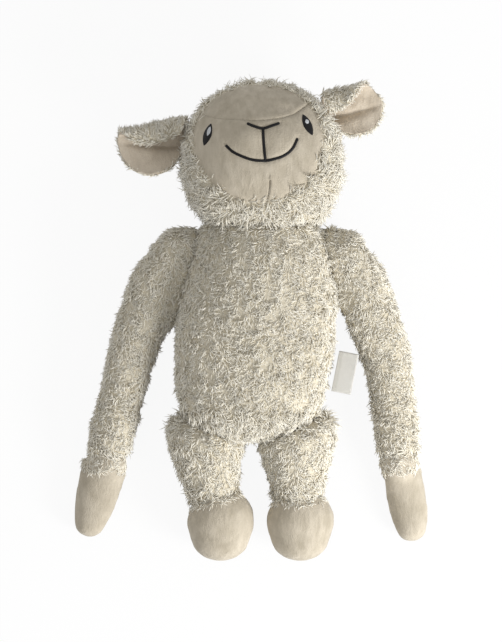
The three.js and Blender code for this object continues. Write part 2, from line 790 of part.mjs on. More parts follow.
// Side label: two plies joined at both folds, extruded along the seam
function labelBody() {
  const half = labelPly + labelGap / 2;
  const [top, middle, bottom] = [0.5, 0, -0.5].map((share) => leftOutline(labelY + share * labelLong));
  const seam = top.clone().sub(bottom).normalize();
  const outwards = seam.clone().cross(up).normalize();
  const chord = top.clone().add(bottom).divideScalar(2);
  const bulge = Math.max(0, middle.clone().sub(chord).dot(outwards));
  const axis = chord.clone().addScaledVector(outwards, bulge + clearance + half);
  const loop = (size, curve) => {
    curve.moveTo(0, -size);
    curve.lineTo(labelOut - 2 * half, -size);
    curve.absarc(labelOut - 2 * half, 0, size, -Math.PI / 2, Math.PI / 2, false);
    curve.lineTo(0, size);
    curve.absarc(0, 0, size, Math.PI / 2, Math.PI * 1.5, false);
    return curve;
  };
  const shape = loop(half, new THREE.Shape());
  shape.holes.push(loop(labelGap / 2, new THREE.Path()));
  const settings = { depth: labelLong, bevelEnabled: false, curveSegments: 6 };
  const ribbon = new THREE.ExtrudeGeometry(shape, settings);
  ribbon.translate(0, 0, -labelLong / 2);
  ribbon.applyMatrix4(new THREE.Matrix4().makeBasis(outwards, up, outwards.clone().cross(up)));
  ribbon.translate(axis.x, axis.y, axis.z);
  return solid(ribbon);
}

// Assembly
const group = new THREE.Group();
const add = (name, body, material) => group.add(named(name, body, material));

add('torso_front_cover', torsoShell.intersect(aboveSeam), fleece);
add('torso_back_cover', torsoShell.intersect(belowSeam), fleece);
add('torso_front_filling', torsoFill.intersect(aboveSeam).subtract(pocket), filling);
add('torso_back_filling', torsoFill.intersect(belowSeam).subtract(pocket), filling);
add('squeaker_base', solid(turned(baseProfile)), plastic);
add('squeaker_reed', solid(turned(reedProfile, 16)), reedPlastic);
add('squeaker_bellows', solid(turned(bellowsProfile())), plastic);
add('squeaker_cap', solid(turned(capProfile)), plastic);
add('side_label', labelBody(), satin);

add('head_hood', whole(headHood), fleece);
add('face_panel', whole(facePanel), velour);
add('forehead_panel', whole(foreheadPanel), velour);
add('head_filling', whole(headFill), filling);
for (const [name, place] of [['left', leftEye], ['right', rightEye]]) {
  const { eyeBody, glint } = eyeParts(place);
  add(`${name}_eye`, eyeBody, thread);
  add(`${name}_eye_glint`, glint, whiteThread);
}
add('nose_stitch', stitched(strokeShape(noseLine, stitchWidth)), thread);
add('lip_stitch', stitched(strokeShape(lipLine, stitchWidth)), thread);
add('mouth_stitch', stitched(strokeShape(mouthLine, stitchWidth)), thread);

for (const [name, side, ear] of [['left', 1, leftEar], ['right', -1, rightEar]]) {
  const { fleeceBody, liningBody } = earParts(side, ear);
  add(`${name}_ear_back`, fleeceBody, fleece);
  add(`${name}_ear_lining`, liningBody, velour);
}

const armRows = [
  ['left', 1, leftArmRun, leftHand],
  ['right', -1, rightArmRun, rightHand],
];
for (const [name, side, run, palm] of armRows) {
  const arm = armParts(shoulders[name], side, run);
  const hand = handParts(arm.wrist, side, palm);
  add(`${name}_arm_cover`, arm.cover, fleece);
  add(`${name}_arm_filling`, arm.wad, filling);
  add(`${name}_hand_cover`, hand.cover, velour);
  add(`${name}_hand_filling`, hand.wad, filling);
}

for (const [name, place] of [['left', leftLeg], ['right', rightLeg]]) {
  const leg = legParts(place);
  const foot = footParts(leg.ankle, place);
  add(`${name}_leg_cover`, leg.cover, fleece);
  add(`${name}_leg_filling`, leg.wad, filling);
  add(`${name}_foot_cover`, foot.cover, velour);
  add(`${name}_foot_filling`, foot.wad, filling);
}

export default group;
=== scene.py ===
# %% [markdown]
# # A curly stuffed llama for a dog
#
# The toy lies on its back. Its coat is a curly fleece, its face, hands and feet are a smooth velour, and
# its features are satin stitch. The CAD model gives every stuffed part's place and size, so this script
# turns those solids into soft cloth skins, covers them with thousands of small locks of fleece, and sews
# the details on.

# %% Tools and the CAD frame
import json
import math

import bmesh
import bpy
import numpy as np
from mathutils import Matrix, Vector, noise
from mathutils.bvhtree import BVHTree


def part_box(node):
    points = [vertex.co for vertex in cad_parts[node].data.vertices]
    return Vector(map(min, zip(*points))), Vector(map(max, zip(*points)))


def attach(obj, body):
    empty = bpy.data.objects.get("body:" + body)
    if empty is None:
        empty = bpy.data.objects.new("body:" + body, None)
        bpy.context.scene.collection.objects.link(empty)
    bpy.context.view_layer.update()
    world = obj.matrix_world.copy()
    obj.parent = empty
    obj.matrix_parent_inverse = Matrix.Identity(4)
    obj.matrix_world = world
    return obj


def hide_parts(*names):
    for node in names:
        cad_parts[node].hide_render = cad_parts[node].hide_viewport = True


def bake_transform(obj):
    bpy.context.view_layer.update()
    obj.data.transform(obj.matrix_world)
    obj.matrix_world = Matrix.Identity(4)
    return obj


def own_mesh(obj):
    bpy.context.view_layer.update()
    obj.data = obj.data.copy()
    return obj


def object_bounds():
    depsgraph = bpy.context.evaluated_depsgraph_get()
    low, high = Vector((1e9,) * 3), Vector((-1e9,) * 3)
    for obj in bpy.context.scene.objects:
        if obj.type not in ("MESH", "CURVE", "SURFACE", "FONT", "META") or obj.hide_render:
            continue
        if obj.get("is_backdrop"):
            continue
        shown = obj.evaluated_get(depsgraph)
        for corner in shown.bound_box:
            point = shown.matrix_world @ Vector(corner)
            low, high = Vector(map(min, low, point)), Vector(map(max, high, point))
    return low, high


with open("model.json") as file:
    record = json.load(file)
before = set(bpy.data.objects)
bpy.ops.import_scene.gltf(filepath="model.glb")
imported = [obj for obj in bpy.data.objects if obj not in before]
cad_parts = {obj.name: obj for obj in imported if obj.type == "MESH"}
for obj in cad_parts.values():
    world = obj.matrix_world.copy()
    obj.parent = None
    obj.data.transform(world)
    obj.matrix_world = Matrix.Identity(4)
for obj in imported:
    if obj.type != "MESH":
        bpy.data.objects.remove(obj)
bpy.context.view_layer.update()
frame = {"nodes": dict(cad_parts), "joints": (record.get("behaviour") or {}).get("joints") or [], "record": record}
joints = {joint["name"]: joint for joint in frame["joints"]}
MM = 0.001
UP = Vector((0, 0, 1))

# %% [markdown]
# ## Shader maths as Python
#
# A material is a tree of nodes. Wiring each Math node by hand hides what the sum is, so a wire from a
# socket is wrapped in a small class whose operators add the nodes. Everything else goes through one
# method that takes a node's type, its settings and its inputs.

# %% A wire that can be added up
class Wire:
    def __init__(self, look, socket):
        self.look = look
        self.socket = socket

    def maths(self, operation, first, second):
        return self.look.node("ShaderNodeMath", {"operation": operation}, {0: first, 1: second})

    def __add__(self, other):
        return self.maths("ADD", self, other)

    def __mul__(self, other):
        return self.maths("MULTIPLY", self, other)

    __radd__ = __add__
    __rmul__ = __mul__


# %% A material and its nodes
# The Mix node has a set of sockets for each type of data. These are the numbers of the ones for colours.
MIX_FACTOR = 0
MIX_FIRST = 6
MIX_SECOND = 7
MIX_RESULT = 2


class Look:
    def __init__(self, name, roughness, sheen=0.0, **constants):
        self.material = bpy.data.materials.new(name)
        self.material.use_nodes = True
        self.tree = self.material.node_tree
        self.shader = self.tree.nodes["Principled BSDF"]
        self.shader.inputs["Roughness"].default_value = roughness
        self.shader.inputs["Sheen Weight"].default_value = sheen
        for socket, value in constants.items():
            self.shader.inputs[socket.replace("_", " ")].default_value = value

    def node(self, kind, settings=None, inputs=None, output=0):
        made = self.tree.nodes.new(kind)
        for key, value in (settings or {}).items():
            if key == "stops":
                self.set_stops(made.color_ramp, value)
            else:
                setattr(made, key, value)
        for key, value in (inputs or {}).items():
            if isinstance(value, Wire):
                self.tree.links.new(value.socket, made.inputs[key])
            else:
                made.inputs[key].default_value = value
        return Wire(self, made.outputs[output])

    def set_stops(self, ramp, stops):
        while len(ramp.elements) < len(stops):
            ramp.elements.new(0.5)
        for element, (position, colour) in zip(ramp.elements, stops):
            element.position = position
            element.color = colour

    def feed(self, socket, wire):
        self.tree.links.new(wire.socket, self.shader.inputs[socket])

    def places(self, scale=(1, 1, 1)):
        """Object coordinates. A scale below 1 stretches a pattern along that axis."""
        spot = self.node("ShaderNodeTexCoord", output="Object")
        return self.node("ShaderNodeMapping", None, {"Vector": spot, "Scale": scale})

    def cloud(self, spot, size, detail=3.0):
        """Soft noise whose blobs are about size metres across."""
        return self.node("ShaderNodeTexNoise", None, {"Vector": spot, "Scale": 1 / size, "Detail": detail})

    def ramp(self, stops, factor):
        return self.node("ShaderNodeValToRGB", {"stops": stops}, {0: factor})

    def mixed(self, factor, first, second):
        inputs = {MIX_FACTOR: factor, MIX_FIRST: first, MIX_SECOND: second}
        return self.node("ShaderNodeMix", {"data_type": "RGBA"}, inputs, MIX_RESULT)

    def relief(self, height, depth):
        bump = self.node("ShaderNodeBump", None, {"Strength": 1.0, "Distance": depth, "Height": height})
        self.feed("Normal", bump)


def paint(red, green, blue):
    """A colour as it looks in a picture, 0 to 255, turned into the light that a shader works with."""
    light = [((c / 255 + 0.055) / 1.055) ** 2.4 for c in (red, green, blue)]
    return (*light, 1.0)


# %% [markdown]
# ## Fleece
#
# The fleece is seen as locks: each is painted darker at its root, as shade for the little light that reaches
# there, and pale at its tip. The colour of a lock depends only on two numbers that are stored with it, its
# tint and how far along it is, so all locks share one small palette. The cloth under them is a flat warm
# cream, its own colour painted a little darker than the locks as shade for the gaps between them.

# %% The locks' palette
TINTS = 8
LOCK_MIDDLE = 0.35

locks_look = Look("curly_fleece", roughness=0.9, sheen=0.15)
palette = locks_look.node("ShaderNodeUVMap", {"uv_map": "OFBake"})
tint = locks_look.node("ShaderNodeSeparateXYZ", None, {"Vector": palette}, "X")
along = locks_look.node("ShaderNodeSeparateXYZ", None, {"Vector": palette}, "Y")


def lock_ramp(root, middle, tip):
    return locks_look.ramp([(0.0, root), (LOCK_MIDDLE, middle), (1.0, tip)], along)


# The root colours are painted shade, for the little light that gets in among the locks.
pale_lock = lock_ramp(paint(222, 215, 196), paint(243, 238, 224), paint(252, 250, 243))
dull_lock = lock_ramp(paint(205, 196, 174), paint(227, 220, 203), paint(241, 236, 223))
locks_look.feed("Base Color", locks_look.mixed(tint, pale_lock, dull_lock))
print("fleece in", TINTS, "tints")

# %% The backing under the locks
BACKING_CLOUD = 6 * MM
BACKING_GRAIN = 1.5 * MM
BACKING_RELIEF = 0.6 * MM

skin_look = Look("fleece_backing", roughness=0.95)
skin_spot = skin_look.places()
skin_cloud = skin_look.cloud(skin_spot, BACKING_CLOUD)
# The backing's own warm cream is painted darker than the locks, as shade in the gaps between them.
skin_look.feed("Base Color", skin_look.mixed(skin_cloud, paint(196, 187, 166), paint(210, 202, 183)))
skin_look.relief(skin_look.cloud(skin_spot, BACKING_GRAIN), BACKING_RELIEF)
print("backing", skin_look.material.name)

# %% [markdown]
# ## Velour
#
# Velour has a short pile that is brushed this way and that, which shows as soft streaks along the toy. So
# its colour follows stretched noise, and a much finer noise stands for the pile. The ears are lined with
# a paler copy of it, lightened as painted light against the shade in the ear's folds.

# %% Velour
VELOUR_BRUSHED = 7 * MM
VELOUR_STROKE = 2.2 * MM
VELOUR_MOTTLE = 30 * MM
VELOUR_NAP = 0.9 * MM
VELOUR_RELIEF = 0.9 * MM
DULL_AT = 0.36
PALE_AT = 0.64


def velour(name, dull, pale, shade):
    look = Look(name, roughness=0.85, sheen=0.15)
    brushed = look.cloud(look.places((1, 0.5, 1)), VELOUR_BRUSHED)
    strokes = look.cloud(look.places((1, 0.2, 1)), VELOUR_STROKE, 2.0)
    mottle = look.cloud(look.places(), VELOUR_MOTTLE, 2.0)
    nap = look.cloud(look.places(), VELOUR_NAP, 2.0)
    streaks = brushed * 0.5 + strokes * 0.15 + mottle * 0.35
    colour = look.ramp([(DULL_AT, dull), (PALE_AT, pale)], streaks)
    look.feed("Base Color", look.mixed(nap * 0.25, colour, shade))
    look.relief(nap * 0.6 + strokes * 0.5 + brushed * 0.8, VELOUR_RELIEF)
    return look


velour_look = velour("velour", paint(174, 164, 145), paint(203, 193, 175), paint(160, 149, 127))
# The lining is the same velour painted paler, as light that makes up for the shade in the ear's folds.
lining_look = velour("ear_lining_velour", paint(194, 181, 162), paint(222, 210, 192), paint(178, 164, 143))
print("velours", velour_look.material.name, lining_look.material.name)

# %% [markdown]
# ## Thread, ribbon, filling and plastic
#
# Satin stitch has a soft shine, and its ribs are part of the mesh. The label's ribbon has ribs that are
# too fine for that, so a wave across its own flat map makes them. What lies inside is plain fibre and
# moulded plastic.

# %% Thread
THREAD_GRAIN = 0.6 * MM
THREAD_RELIEF = 0.2 * MM


def thread(name, dark, pale):
    look = Look(name, roughness=0.5, Specular_IOR_Level=0.3)
    grain = look.cloud(look.places(), THREAD_GRAIN, 1.0)
    look.feed("Base Color", look.mixed(grain, dark, pale))
    look.feed("Roughness", grain * 0.25 + 0.4)
    look.relief(grain, THREAD_RELIEF)
    return look


black_look = thread("black_satin_stitch", paint(8, 8, 9), paint(26, 25, 27))
white_look = thread("white_satin_stitch", paint(178, 181, 184), paint(216, 218, 221))
print("threads", black_look.material.name, white_look.material.name)

# %% Ribbon
RIB_SCALE = 900.0
RIB_DEPTH = 0.12 * MM

ribbon_look = Look("satin_ribbon", roughness=0.35, sheen=0.2)
ribbon_uv = ribbon_look.node("ShaderNodeUVMap", {"uv_map": "weave"})
rib_settings = {"wave_type": "BANDS", "bands_direction": "Y"}
rib_inputs = {"Vector": ribbon_uv, "Scale": RIB_SCALE, "Distortion": 0.3}
ribs = ribbon_look.node("ShaderNodeTexWave", rib_settings, rib_inputs)
ribbon_look.feed("Base Color", ribbon_look.mixed(ribs, paint(214, 211, 203), paint(230, 228, 221)))
ribbon_look.relief(ribs, RIB_DEPTH)
print("ribbon", ribbon_look.material.name)

# %% Filling and plastic
FIBRE = 4 * MM
FIBRE_RELIEF = 1 * MM
FLOW_MARK = 12 * MM

filling_look = Look("fibre_filling", roughness=1.0)
fibre = filling_look.cloud(filling_look.places(), FIBRE, 5.0)
filling_look.feed("Base Color", filling_look.mixed(fibre, paint(222, 222, 220), paint(250, 250, 250)))
filling_look.relief(fibre, FIBRE_RELIEF)


def moulded(name, roughness, low, high):
    look = Look(name, roughness=roughness)
    flow = look.cloud(look.places(), FLOW_MARK, 2.0)
    look.feed("Base Color", look.mixed(flow, low, high))
    look.feed("Roughness", flow * 0.15 + (roughness - 0.07))
    return look


squeaker_look = moulded("squeaker_plastic", 0.45, paint(230, 226, 214), paint(242, 239, 230))
reed_look = moulded("reed_plastic", 0.3, paint(240, 240, 240), paint(252, 252, 252))
inner_looks = {"filling": filling_look, "squeaker_plastic": squeaker_look, "reed_plastic": reed_look}
print("finishes", len(bpy.data.materials))

# %% [markdown]
# ## Stuffed skins
#
# A stuffed part is one cloth bag round its filling. The CAD gives the cover and the wad as two solids
# with flat facets. A voxel remesh of the pair fuses them into one closed skin of even quads, which is
# what the cloth simulation wants: Blender's Cloth blows the skin up from inside, as stuffing does, and
# the facets go. Every bag is simulated in the same run of twenty frames, and a limit on the movement
# keeps each in its place.

# %% Reading and writing a mesh
def read_points(mesh):
    points = np.zeros(len(mesh.vertices) * 3)
    mesh.vertices.foreach_get("co", points)
    return points.reshape(-1, 3)


def write_points(mesh, points):
    mesh.vertices.foreach_set("co", np.asarray(points, np.float32).ravel())
    mesh.update()


def bake_modifiers(piece):
    graph = bpy.context.evaluated_depsgraph_get()
    mesh = bpy.data.meshes.new_from_object(piece.evaluated_get(graph))
    piece.modifiers.clear()
    piece.data = mesh
    mesh.name = piece.name


def new_piece(name, bm, look):
    mesh = bpy.data.meshes.new(name)
    bm.to_mesh(mesh)
    bm.free()
    mesh.materials.append(look.material)
    mesh.shade_smooth()
    piece = bpy.data.objects.new(name, mesh)
    bpy.context.scene.collection.objects.link(piece)
    return piece


def thicken(piece, thickness):
    """Gives a sheet its thickness on the side away from its normals."""
    thick = piece.modifiers.new("Thickness", "SOLIDIFY")
    thick.thickness = thickness
    thick.offset = -1
    bake_modifiers(piece)


def refine(piece, levels):
    finer = piece.modifiers.new("Finer", "SUBSURF")
    finer.levels = levels
    finer.render_levels = levels
    bake_modifiers(piece)
    piece.data.shade_smooth()


# %% One closed skin from a few CAD solids
WELD = 1e-6
ALL_AXES = {"use_axis_x": True, "use_axis_y": True, "use_axis_z": True}


def keep_largest(bm):
    """Drops the crumbs that a remesh can leave inside."""
    left = set(bm.verts)
    best = set()
    while left:
        island = {left.pop()}
        edge_of_island = list(island)
        while edge_of_island:
            vert = edge_of_island.pop()
            for link in vert.link_edges:
                other = link.other_vert(vert)
                if other in left:
                    left.remove(other)
                    island.add(other)
                    edge_of_island.append(other)
        if len(island) > len(best):
            best = island
    bmesh.ops.delete(bm, geom=[v for v in bm.verts if v not in best], context="VERTS")


def fused_skin(name, nodes, voxel, look, smooth=6, ball=None):
    """Fuses the solids, and a ball if one is given as its middle and radius, into one skin."""
    bm = bmesh.new()
    for node in nodes:
        bm.from_mesh(frame["nodes"][node].data)
    bmesh.ops.remove_doubles(bm, verts=bm.verts, dist=WELD)
    if ball:
        middle, radius = ball
        bmesh.ops.create_icosphere(bm, subdivisions=4, radius=radius, matrix=Matrix.Translation(middle))
    piece = new_piece(name, bm, look)
    remesh = piece.modifiers.new("Voxels", "REMESH")
    remesh.mode = "VOXEL"
    remesh.voxel_size = voxel
    bake_modifiers(piece)
    bm = bmesh.new()
    bm.from_mesh(piece.data)
    keep_largest(bm)
    for _ in range(smooth):
        bmesh.ops.smooth_vert(bm, verts=bm.verts, factor=0.5, **ALL_AXES)
    bm.to_mesh(piece.data)
    bm.free()
    piece.data.materials.clear()
    piece.data.materials.append(look.material)
    piece.data.shade_smooth()
    return piece


# %% Where a bag is sewn to its neighbour
SEAM_SEARCH = 6 * MM
SEAM_PASSES = 2

cloth_trees = {}


def tree_of(mesh):
    corners = [v.co.copy() for v in mesh.vertices]
    return BVHTree.FromPolygons(corners, [tuple(p.vertices) for p in mesh.polygons])


def cloth_tree(node):
    if node not in cloth_trees:
        cloth_trees[node] = tree_of(frame["nodes"][node].data)
    return cloth_trees[node]


def sewn_share(mesh, neighbours):
    """1 where the skin faces a neighbour across a seam, 0 away from it, and soft between."""
    share = np.zeros(len(mesh.vertices))
    for index, vert in enumerate(mesh.vertices):
        start = vert.co - vert.normal * MM
        if any(cloth_tree(node).ray_cast(start, vert.normal, SEAM_SEARCH)[0] for node in neighbours):
            share[index] = 1
    ends = np.zeros(len(mesh.edges) * 2, int)
    mesh.edges.foreach_get("vertices", ends)
    first, second = ends.reshape(-1, 2).T
    for _ in range(SEAM_PASSES):
        total = share.copy()
        count = np.ones(len(share))
        for a, b in ((first, second), (second, first)):
            np.add.at(total, a, share[b])
            np.add.at(count, a, 1)
        share = total / count
    return share


# %% [markdown]
# A skin that carries fleece is sunk a little below the CAD's surface, which leaves room for the pile. Where
# a bag faces its neighbour across a seam it runs on into the neighbour instead, so that nothing opens
# between them. A hand's skin goes up into its sleeve as a ball at the wrist. Past the wrist the sleeve's
# own backing is drawn in, so that it stays under the hand's velour.

# %% Every stuffed bag
SIDES = ("left", "right")
LIMBS = {"arm": "hand", "leg": "foot"}
BODY_VOXEL = 5 * MM
LIMB_VOXEL = 4 * MM
END_VOXEL = 3 * MM
FLEECE_DEPTH = 4 * MM
HOOD_DEPTH = 3 * MM
LIMB_DEPTH = {"arm": 2.5 * MM, "leg": 1.2 * MM}
VELOUR_DEPTH = -0.6 * MM
TUCK = 4 * MM
CUFF_TUCK = 4 * MM
WRIST_RADIUS = 17.5 * MM
WRIST_AHEAD = Vector((0, -6 * MM, 0))
SWELL = 1.5 * MM

bags = {}
swell = {}


def stuff(name, nodes, voxel, look, sink, body, neighbours, tuck=TUCK, ball=None, cuff=None):
    """Makes a bag. Past cuff, a place down its limb, it is drawn in further."""
    piece = fused_skin(name, nodes, voxel, look, ball=ball)
    share = sewn_share(piece.data, neighbours)
    normals = np.array([v.normal for v in piece.data.vertices])
    points = read_points(piece.data)
    inwards = sink * (1 - share) - tuck * share
    if cuff is not None:
        inwards += CUFF_TUCK * (points[:, 1] < cuff)
    write_points(piece.data, points - normals * inwards[:, None])
    bags[name] = piece
    swell[name] = SWELL * (1 - share)[:, None]
    piece["body"] = body
    piece["nodes"] = nodes


def stuff_limb(side, limb, wrist):
    body = f"{side}_{limb}"
    nodes = [f"{body}_cover", f"{body}_filling"]
    neighbours = torso_covers if limb == "arm" else [*torso_covers, f"{side}_foot_cover"]
    cuff = wrist.y if limb == "arm" else None
    stuff(f"{body}_bag", nodes, LIMB_VOXEL, skin_look, LIMB_DEPTH[limb], body, neighbours, cuff=cuff)


def stuff_end(side, limb, end, wrist):
    body = f"{side}_{end}"
    nodes = [f"{body}_cover", f"{body}_filling"]
    ball = (wrist + WRIST_AHEAD, WRIST_RADIUS) if end == "hand" else None
    tuck = 0 if end == "hand" else TUCK
    neighbours = [f"{side}_{limb}_cover"]
    stuff(f"{body}_bag", nodes, END_VOXEL, velour_look, VELOUR_DEPTH, body, neighbours, tuck, ball)


torso_nodes = ["torso_front_cover", "torso_back_cover", "torso_front_filling", "torso_back_filling"]
torso_covers = torso_nodes[:2]
around_torso = ["head_hood", *[f"{side}_{limb}_cover" for side in SIDES for limb in LIMBS]]
stuff("torso_bag", torso_nodes, BODY_VOXEL, skin_look, FLEECE_DEPTH, "torso", around_torso, tuck=0)
head_nodes = ["head_hood", "face_panel", "forehead_panel", "head_filling"]
stuff("head_bag", head_nodes, BODY_VOXEL, skin_look, HOOD_DEPTH, "head", torso_covers)
for side in SIDES:
    wrist = Vector(joints[f"{side}_wrist"]["pos_m"])
    for limb, end in LIMBS.items():
        stuff_limb(side, limb, wrist)
        stuff_end(side, limb, end, wrist)
print("bags", {name: len(piece.data.vertices) for name, piece in bags.items()})

# %% Blow them all up at once
LAST_FRAME = 20
PRESSURE = 4
SKIN_OFF_FLOOR = 0.3 * MM


def add_stuffing(piece):
    cloth = piece.modifiers.new("Stuffing", "CLOTH")
    cloth.settings.use_pressure = True
    cloth.settings.uniform_pressure_force = PRESSURE
    cloth.settings.effector_weights.gravity = 0
    cloth.point_cache.frame_start = 1
    cloth.point_cache.frame_end = LAST_FRAME


def settle(piece, start, limit):
    """Keeps the shape that the stuffing gave, but with no point further than its limit from its start."""
    bake_modifiers(piece)
    move = read_points(piece.data) - start
    far = np.linalg.norm(move, axis=1, keepdims=True)
    points = start + move * np.minimum(1, limit / np.maximum(far, 1e-9))
    points[:, 2] = np.maximum(points[:, 2], SKIN_OFF_FLOOR)
    write_points(piece.data, points)


def is_velour(name):
    return "hand" in name or "foot" in name


starts = {name: read_points(piece.data) for name, piece in bags.items()}
for piece in bags.values():
    add_stuffing(piece)
for step in range(1, LAST_FRAME + 1):
    bpy.context.scene.frame_set(step)
for name, piece in bags.items():
    settle(piece, starts[name], swell[name])
bpy.context.scene.frame_set(1)

for name, piece in bags.items():
    refine(piece, 2 if is_velour(name) else 1)
print("stuffed", {name: len(piece.data.polygons) for name, piece in bags.items()})

# %% [markdown]
# ## The face
#
# The face is a shallow velour cap sewn into the hood. Seen from the front it is an oval, so it starts as
# a square grid that is eased into an oval, which keeps its rim smooth. Each point is then dropped on to
# the head, and pressed in along the seams: the forehead seam, the dart in the chin, and the lines where
# the stitching pulls the pile down. The forehead is the part above the seam.

# %% Where things are on the head
hood_low, hood_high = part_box("head_hood")
HEAD_REACH = 70 * MM
head_x = (hood_low.x + hood_high.x) / 2
head_y = hood_high.y - HEAD_REACH

FACE_SHIFT = -3.5 * MM
FACE_LEVEL = 17 * MM
FACE_HALF_WIDTH = 59.5 * MM
FACE_RISE = 49.5 * MM
FACE_DROP = 58 * MM
HEAD_MIDDLE = 60 * MM

# Places on the head are in millimetres right and up from its centre, as the photograph shows it.
SEAM_LINE = [(-75, 46), (-43.5, 34.4), (-21.3, 32.6), (0.9, 31.7), (25.8, 36.6), (44.4, 49), (75, 72)]
BROW_LINE = [(-26, 44), (-13, 50.5), (3, 52), (16, 50), (30, 43)]
CHIN_DART = [(7.1, -21.6), (6.5, -30), (4.4, -41)]
NOSE_LINE = [(-13.3, 29.2), (-6.5, 26.4), (0.7, 24.6), (8, 26.8), (15.5, 29.4)]
LIP_LINE = [(0.8, 24.6), (1.5, 12), (2.9, -3.6)]
MOUTH_LINE = [
    (-32, 10), (-26.5, 4.6), (-18.1, 0.2), (-8, -3.2),
    (3.2, -3.8), (12.5, -2), (20.5, 1.2), (27, 7), (31.4, 16),
]
CHEEKS = ([(-17, 14), (-14, 18)], [(17, 14), (14, 18)])
EYES = {"left": (40.2, 28), "right": (-48, 19.4)}
EYE_LEAN = {"left": 25, "right": -18}


def on_head(x, y):
    return head_x + x * MM, head_y + y * MM


def smooth_line(corners, steps=12):
    """A curve through a few points on the head."""
    knots = np.array([on_head(x, y) for x, y in corners])
    ends = [2 * knots[0] - knots[1], *knots, 2 * knots[-1] - knots[-2]]
    line = []
    for a, b, c, d in zip(ends, ends[1:], ends[2:], ends[3:]):
        for t in np.arange(steps) / steps:
            bend = 2 * b + (c - a) * t + (2 * a - 5 * b + 4 * c - d) * t**2
            line.append(0.5 * (bend + (3 * b - a - 3 * c + d) * t**3))
    return np.array([*line, knots[-1]])


def distance_to(points, line):
    gaps = points[:, None, :2] - line[None, :, :]
    return np.sqrt((gaps**2).sum(2)).min(1)


def crease(points, line, width):
    """1 along the line, and fading to 0 to either side."""
    return np.exp(-((distance_to(points, line) / width) ** 2))


print("head centre", round(head_x, 4), round(head_y, 4))

# %% A surface to drop things on
def drop(tree, x, y):
    """The place below x and y, or the nearest one past the edge."""
    hit, normal, _, _ = tree.ray_cast(Vector((x, y, 1.0)), -UP)
    if hit is None:
        hit, normal, _, _ = tree.find_nearest(Vector((x, y, HEAD_MIDDLE)))
    return hit, normal


face_form = fused_skin("face_form", head_nodes[1:], END_VOXEL, velour_look, smooth=10)
refine(face_form, 1)
face_tree = tree_of(face_form.data)
print("face form", len(face_form.data.polygons), "faces")
bpy.data.objects.remove(face_form)

# %% An oval cap
FACE_CELLS = 150


def eased_oval(u, v):
    """A square's point eased into a disc, so that the rows of the grid bend round with the rim."""
    return u * math.sqrt(1 - v * v / 2), v * math.sqrt(1 - u * u / 2)


bm = bmesh.new()
bmesh.ops.create_grid(bm, x_segments=FACE_CELLS, y_segments=FACE_CELLS, size=1)
for vert in bm.verts:
    u, v = eased_oval(vert.co.x, vert.co.y)
    x = head_x + FACE_SHIFT + FACE_HALF_WIDTH * u
    y = head_y + FACE_LEVEL + (FACE_RISE if v > 0 else FACE_DROP) * v
    vert.co, _ = drop(face_tree, x, y)
bm.normal_update()
face_points = np.array([v.co for v in bm.verts])
face_normals = np.array([v.normal for v in bm.verts])
print("cap", len(face_points), "points")

# %% Seams, brow, dart and cheeks
SEAM_WIDE = 0.9 * MM
SEAM_PUFF_AWAY = 3 * MM
SEAM_PUFF_WIDE = 2.5 * MM
SEAM_FADE = 100 * MM
BROW_WIDE = 4 * MM
BROW_UNDER = 6 * MM
DART_WIDE = 1 * MM
DART_FOLD = 4 * MM
DART_FOLD_WIDE = 5 * MM
CHEEK_WIDE = 12 * MM
LUMPS_PER_METRE = 45

# Heights and depths are in millimetres. The seam is deeper, and puffs up more, towards the toy's left.
SEAM_DEEP = 0.35
SEAM_DEEPER = 0.8
PUFF_ABOVE = 0.6
PUFF_BELOW = 0.3
BROW_HIGH = 0.6
BROW_DEEP = 0.8
DART_DEEP = 1.4
FOLD_HIGH = 1.2
CHEEK_HIGH = 1.4
LUMPS_HIGH = 0.9
STITCH_DENTS = ((MOUTH_LINE, 0.9, 2.6 * MM), (LIP_LINE, 0.7, 2.2 * MM), (NOSE_LINE, 0.7, 2.2 * MM))

seam = smooth_line(SEAM_LINE)
brow = smooth_line(BROW_LINE)
dart = smooth_line(CHIN_DART)


def seam_height(x):
    """Where the forehead's seam is up the head, at x."""
    return np.interp(x, seam[:, 0], seam[:, 1])


above_seam = face_points[:, 1] > seam_height(face_points[:, 0])
from_seam = distance_to(face_points, seam)
to_left = np.clip(0.5 + (face_points[:, 0] - head_x) / SEAM_FADE, 0, 1)
relief = -(SEAM_DEEP + SEAM_DEEPER * to_left) * crease(face_points, seam, SEAM_WIDE)
puff = np.where(above_seam, PUFF_ABOVE, PUFF_BELOW) * to_left
relief += puff * np.exp(-(((from_seam - SEAM_PUFF_AWAY) / SEAM_PUFF_WIDE) ** 2))
relief += BROW_HIGH * crease(face_points, brow, BROW_WIDE)
relief -= BROW_DEEP * crease(face_points, brow - np.array([0, BROW_UNDER]), BROW_WIDE)

past_dart = face_points[:, 0] - np.interp(face_points[:, 1], dart[::-1, 1], dart[::-1, 0])
fold = FOLD_HIGH * np.exp(-np.maximum(past_dart, 0) / DART_FOLD) * (past_dart > 0)
relief -= DART_DEEP * crease(face_points, dart, DART_WIDE)
relief += fold * crease(face_points, dart, DART_FOLD_WIDE)
for line, deep, wide in STITCH_DENTS:
    relief -= deep * crease(face_points, smooth_line(line), wide)
for cheek in CHEEKS:
    relief += CHEEK_HIGH * crease(face_points, smooth_line(cheek), CHEEK_WIDE)
relief += LUMPS_HIGH * np.array([noise.noise(Vector(p) * LUMPS_PER_METRE) for p in face_points])
for vert, height, normal in zip(bm.verts, relief * MM, face_normals):
    vert.co += Vector(normal) * height
print("relief from", round(relief.min(), 2), "to", round(relief.max(), 2), "mm")

# %% Part the cap along its seam
PANEL_THICK = 1.5 * MM
FACE_PANELS = ("face_panel", "forehead_panel")


def velour_panel(name, bm, above):
    part = bm.copy()
    spare = []
    for cell in part.faces:
        middle = cell.calc_center_median()
        if (middle.y > seam_height(middle.x)) != above:
            spare.append(cell)
    bmesh.ops.delete(part, geom=spare, context="FACES")
    panel = new_piece(name, part, velour_look)
    thicken(panel, PANEL_THICK)
    return panel


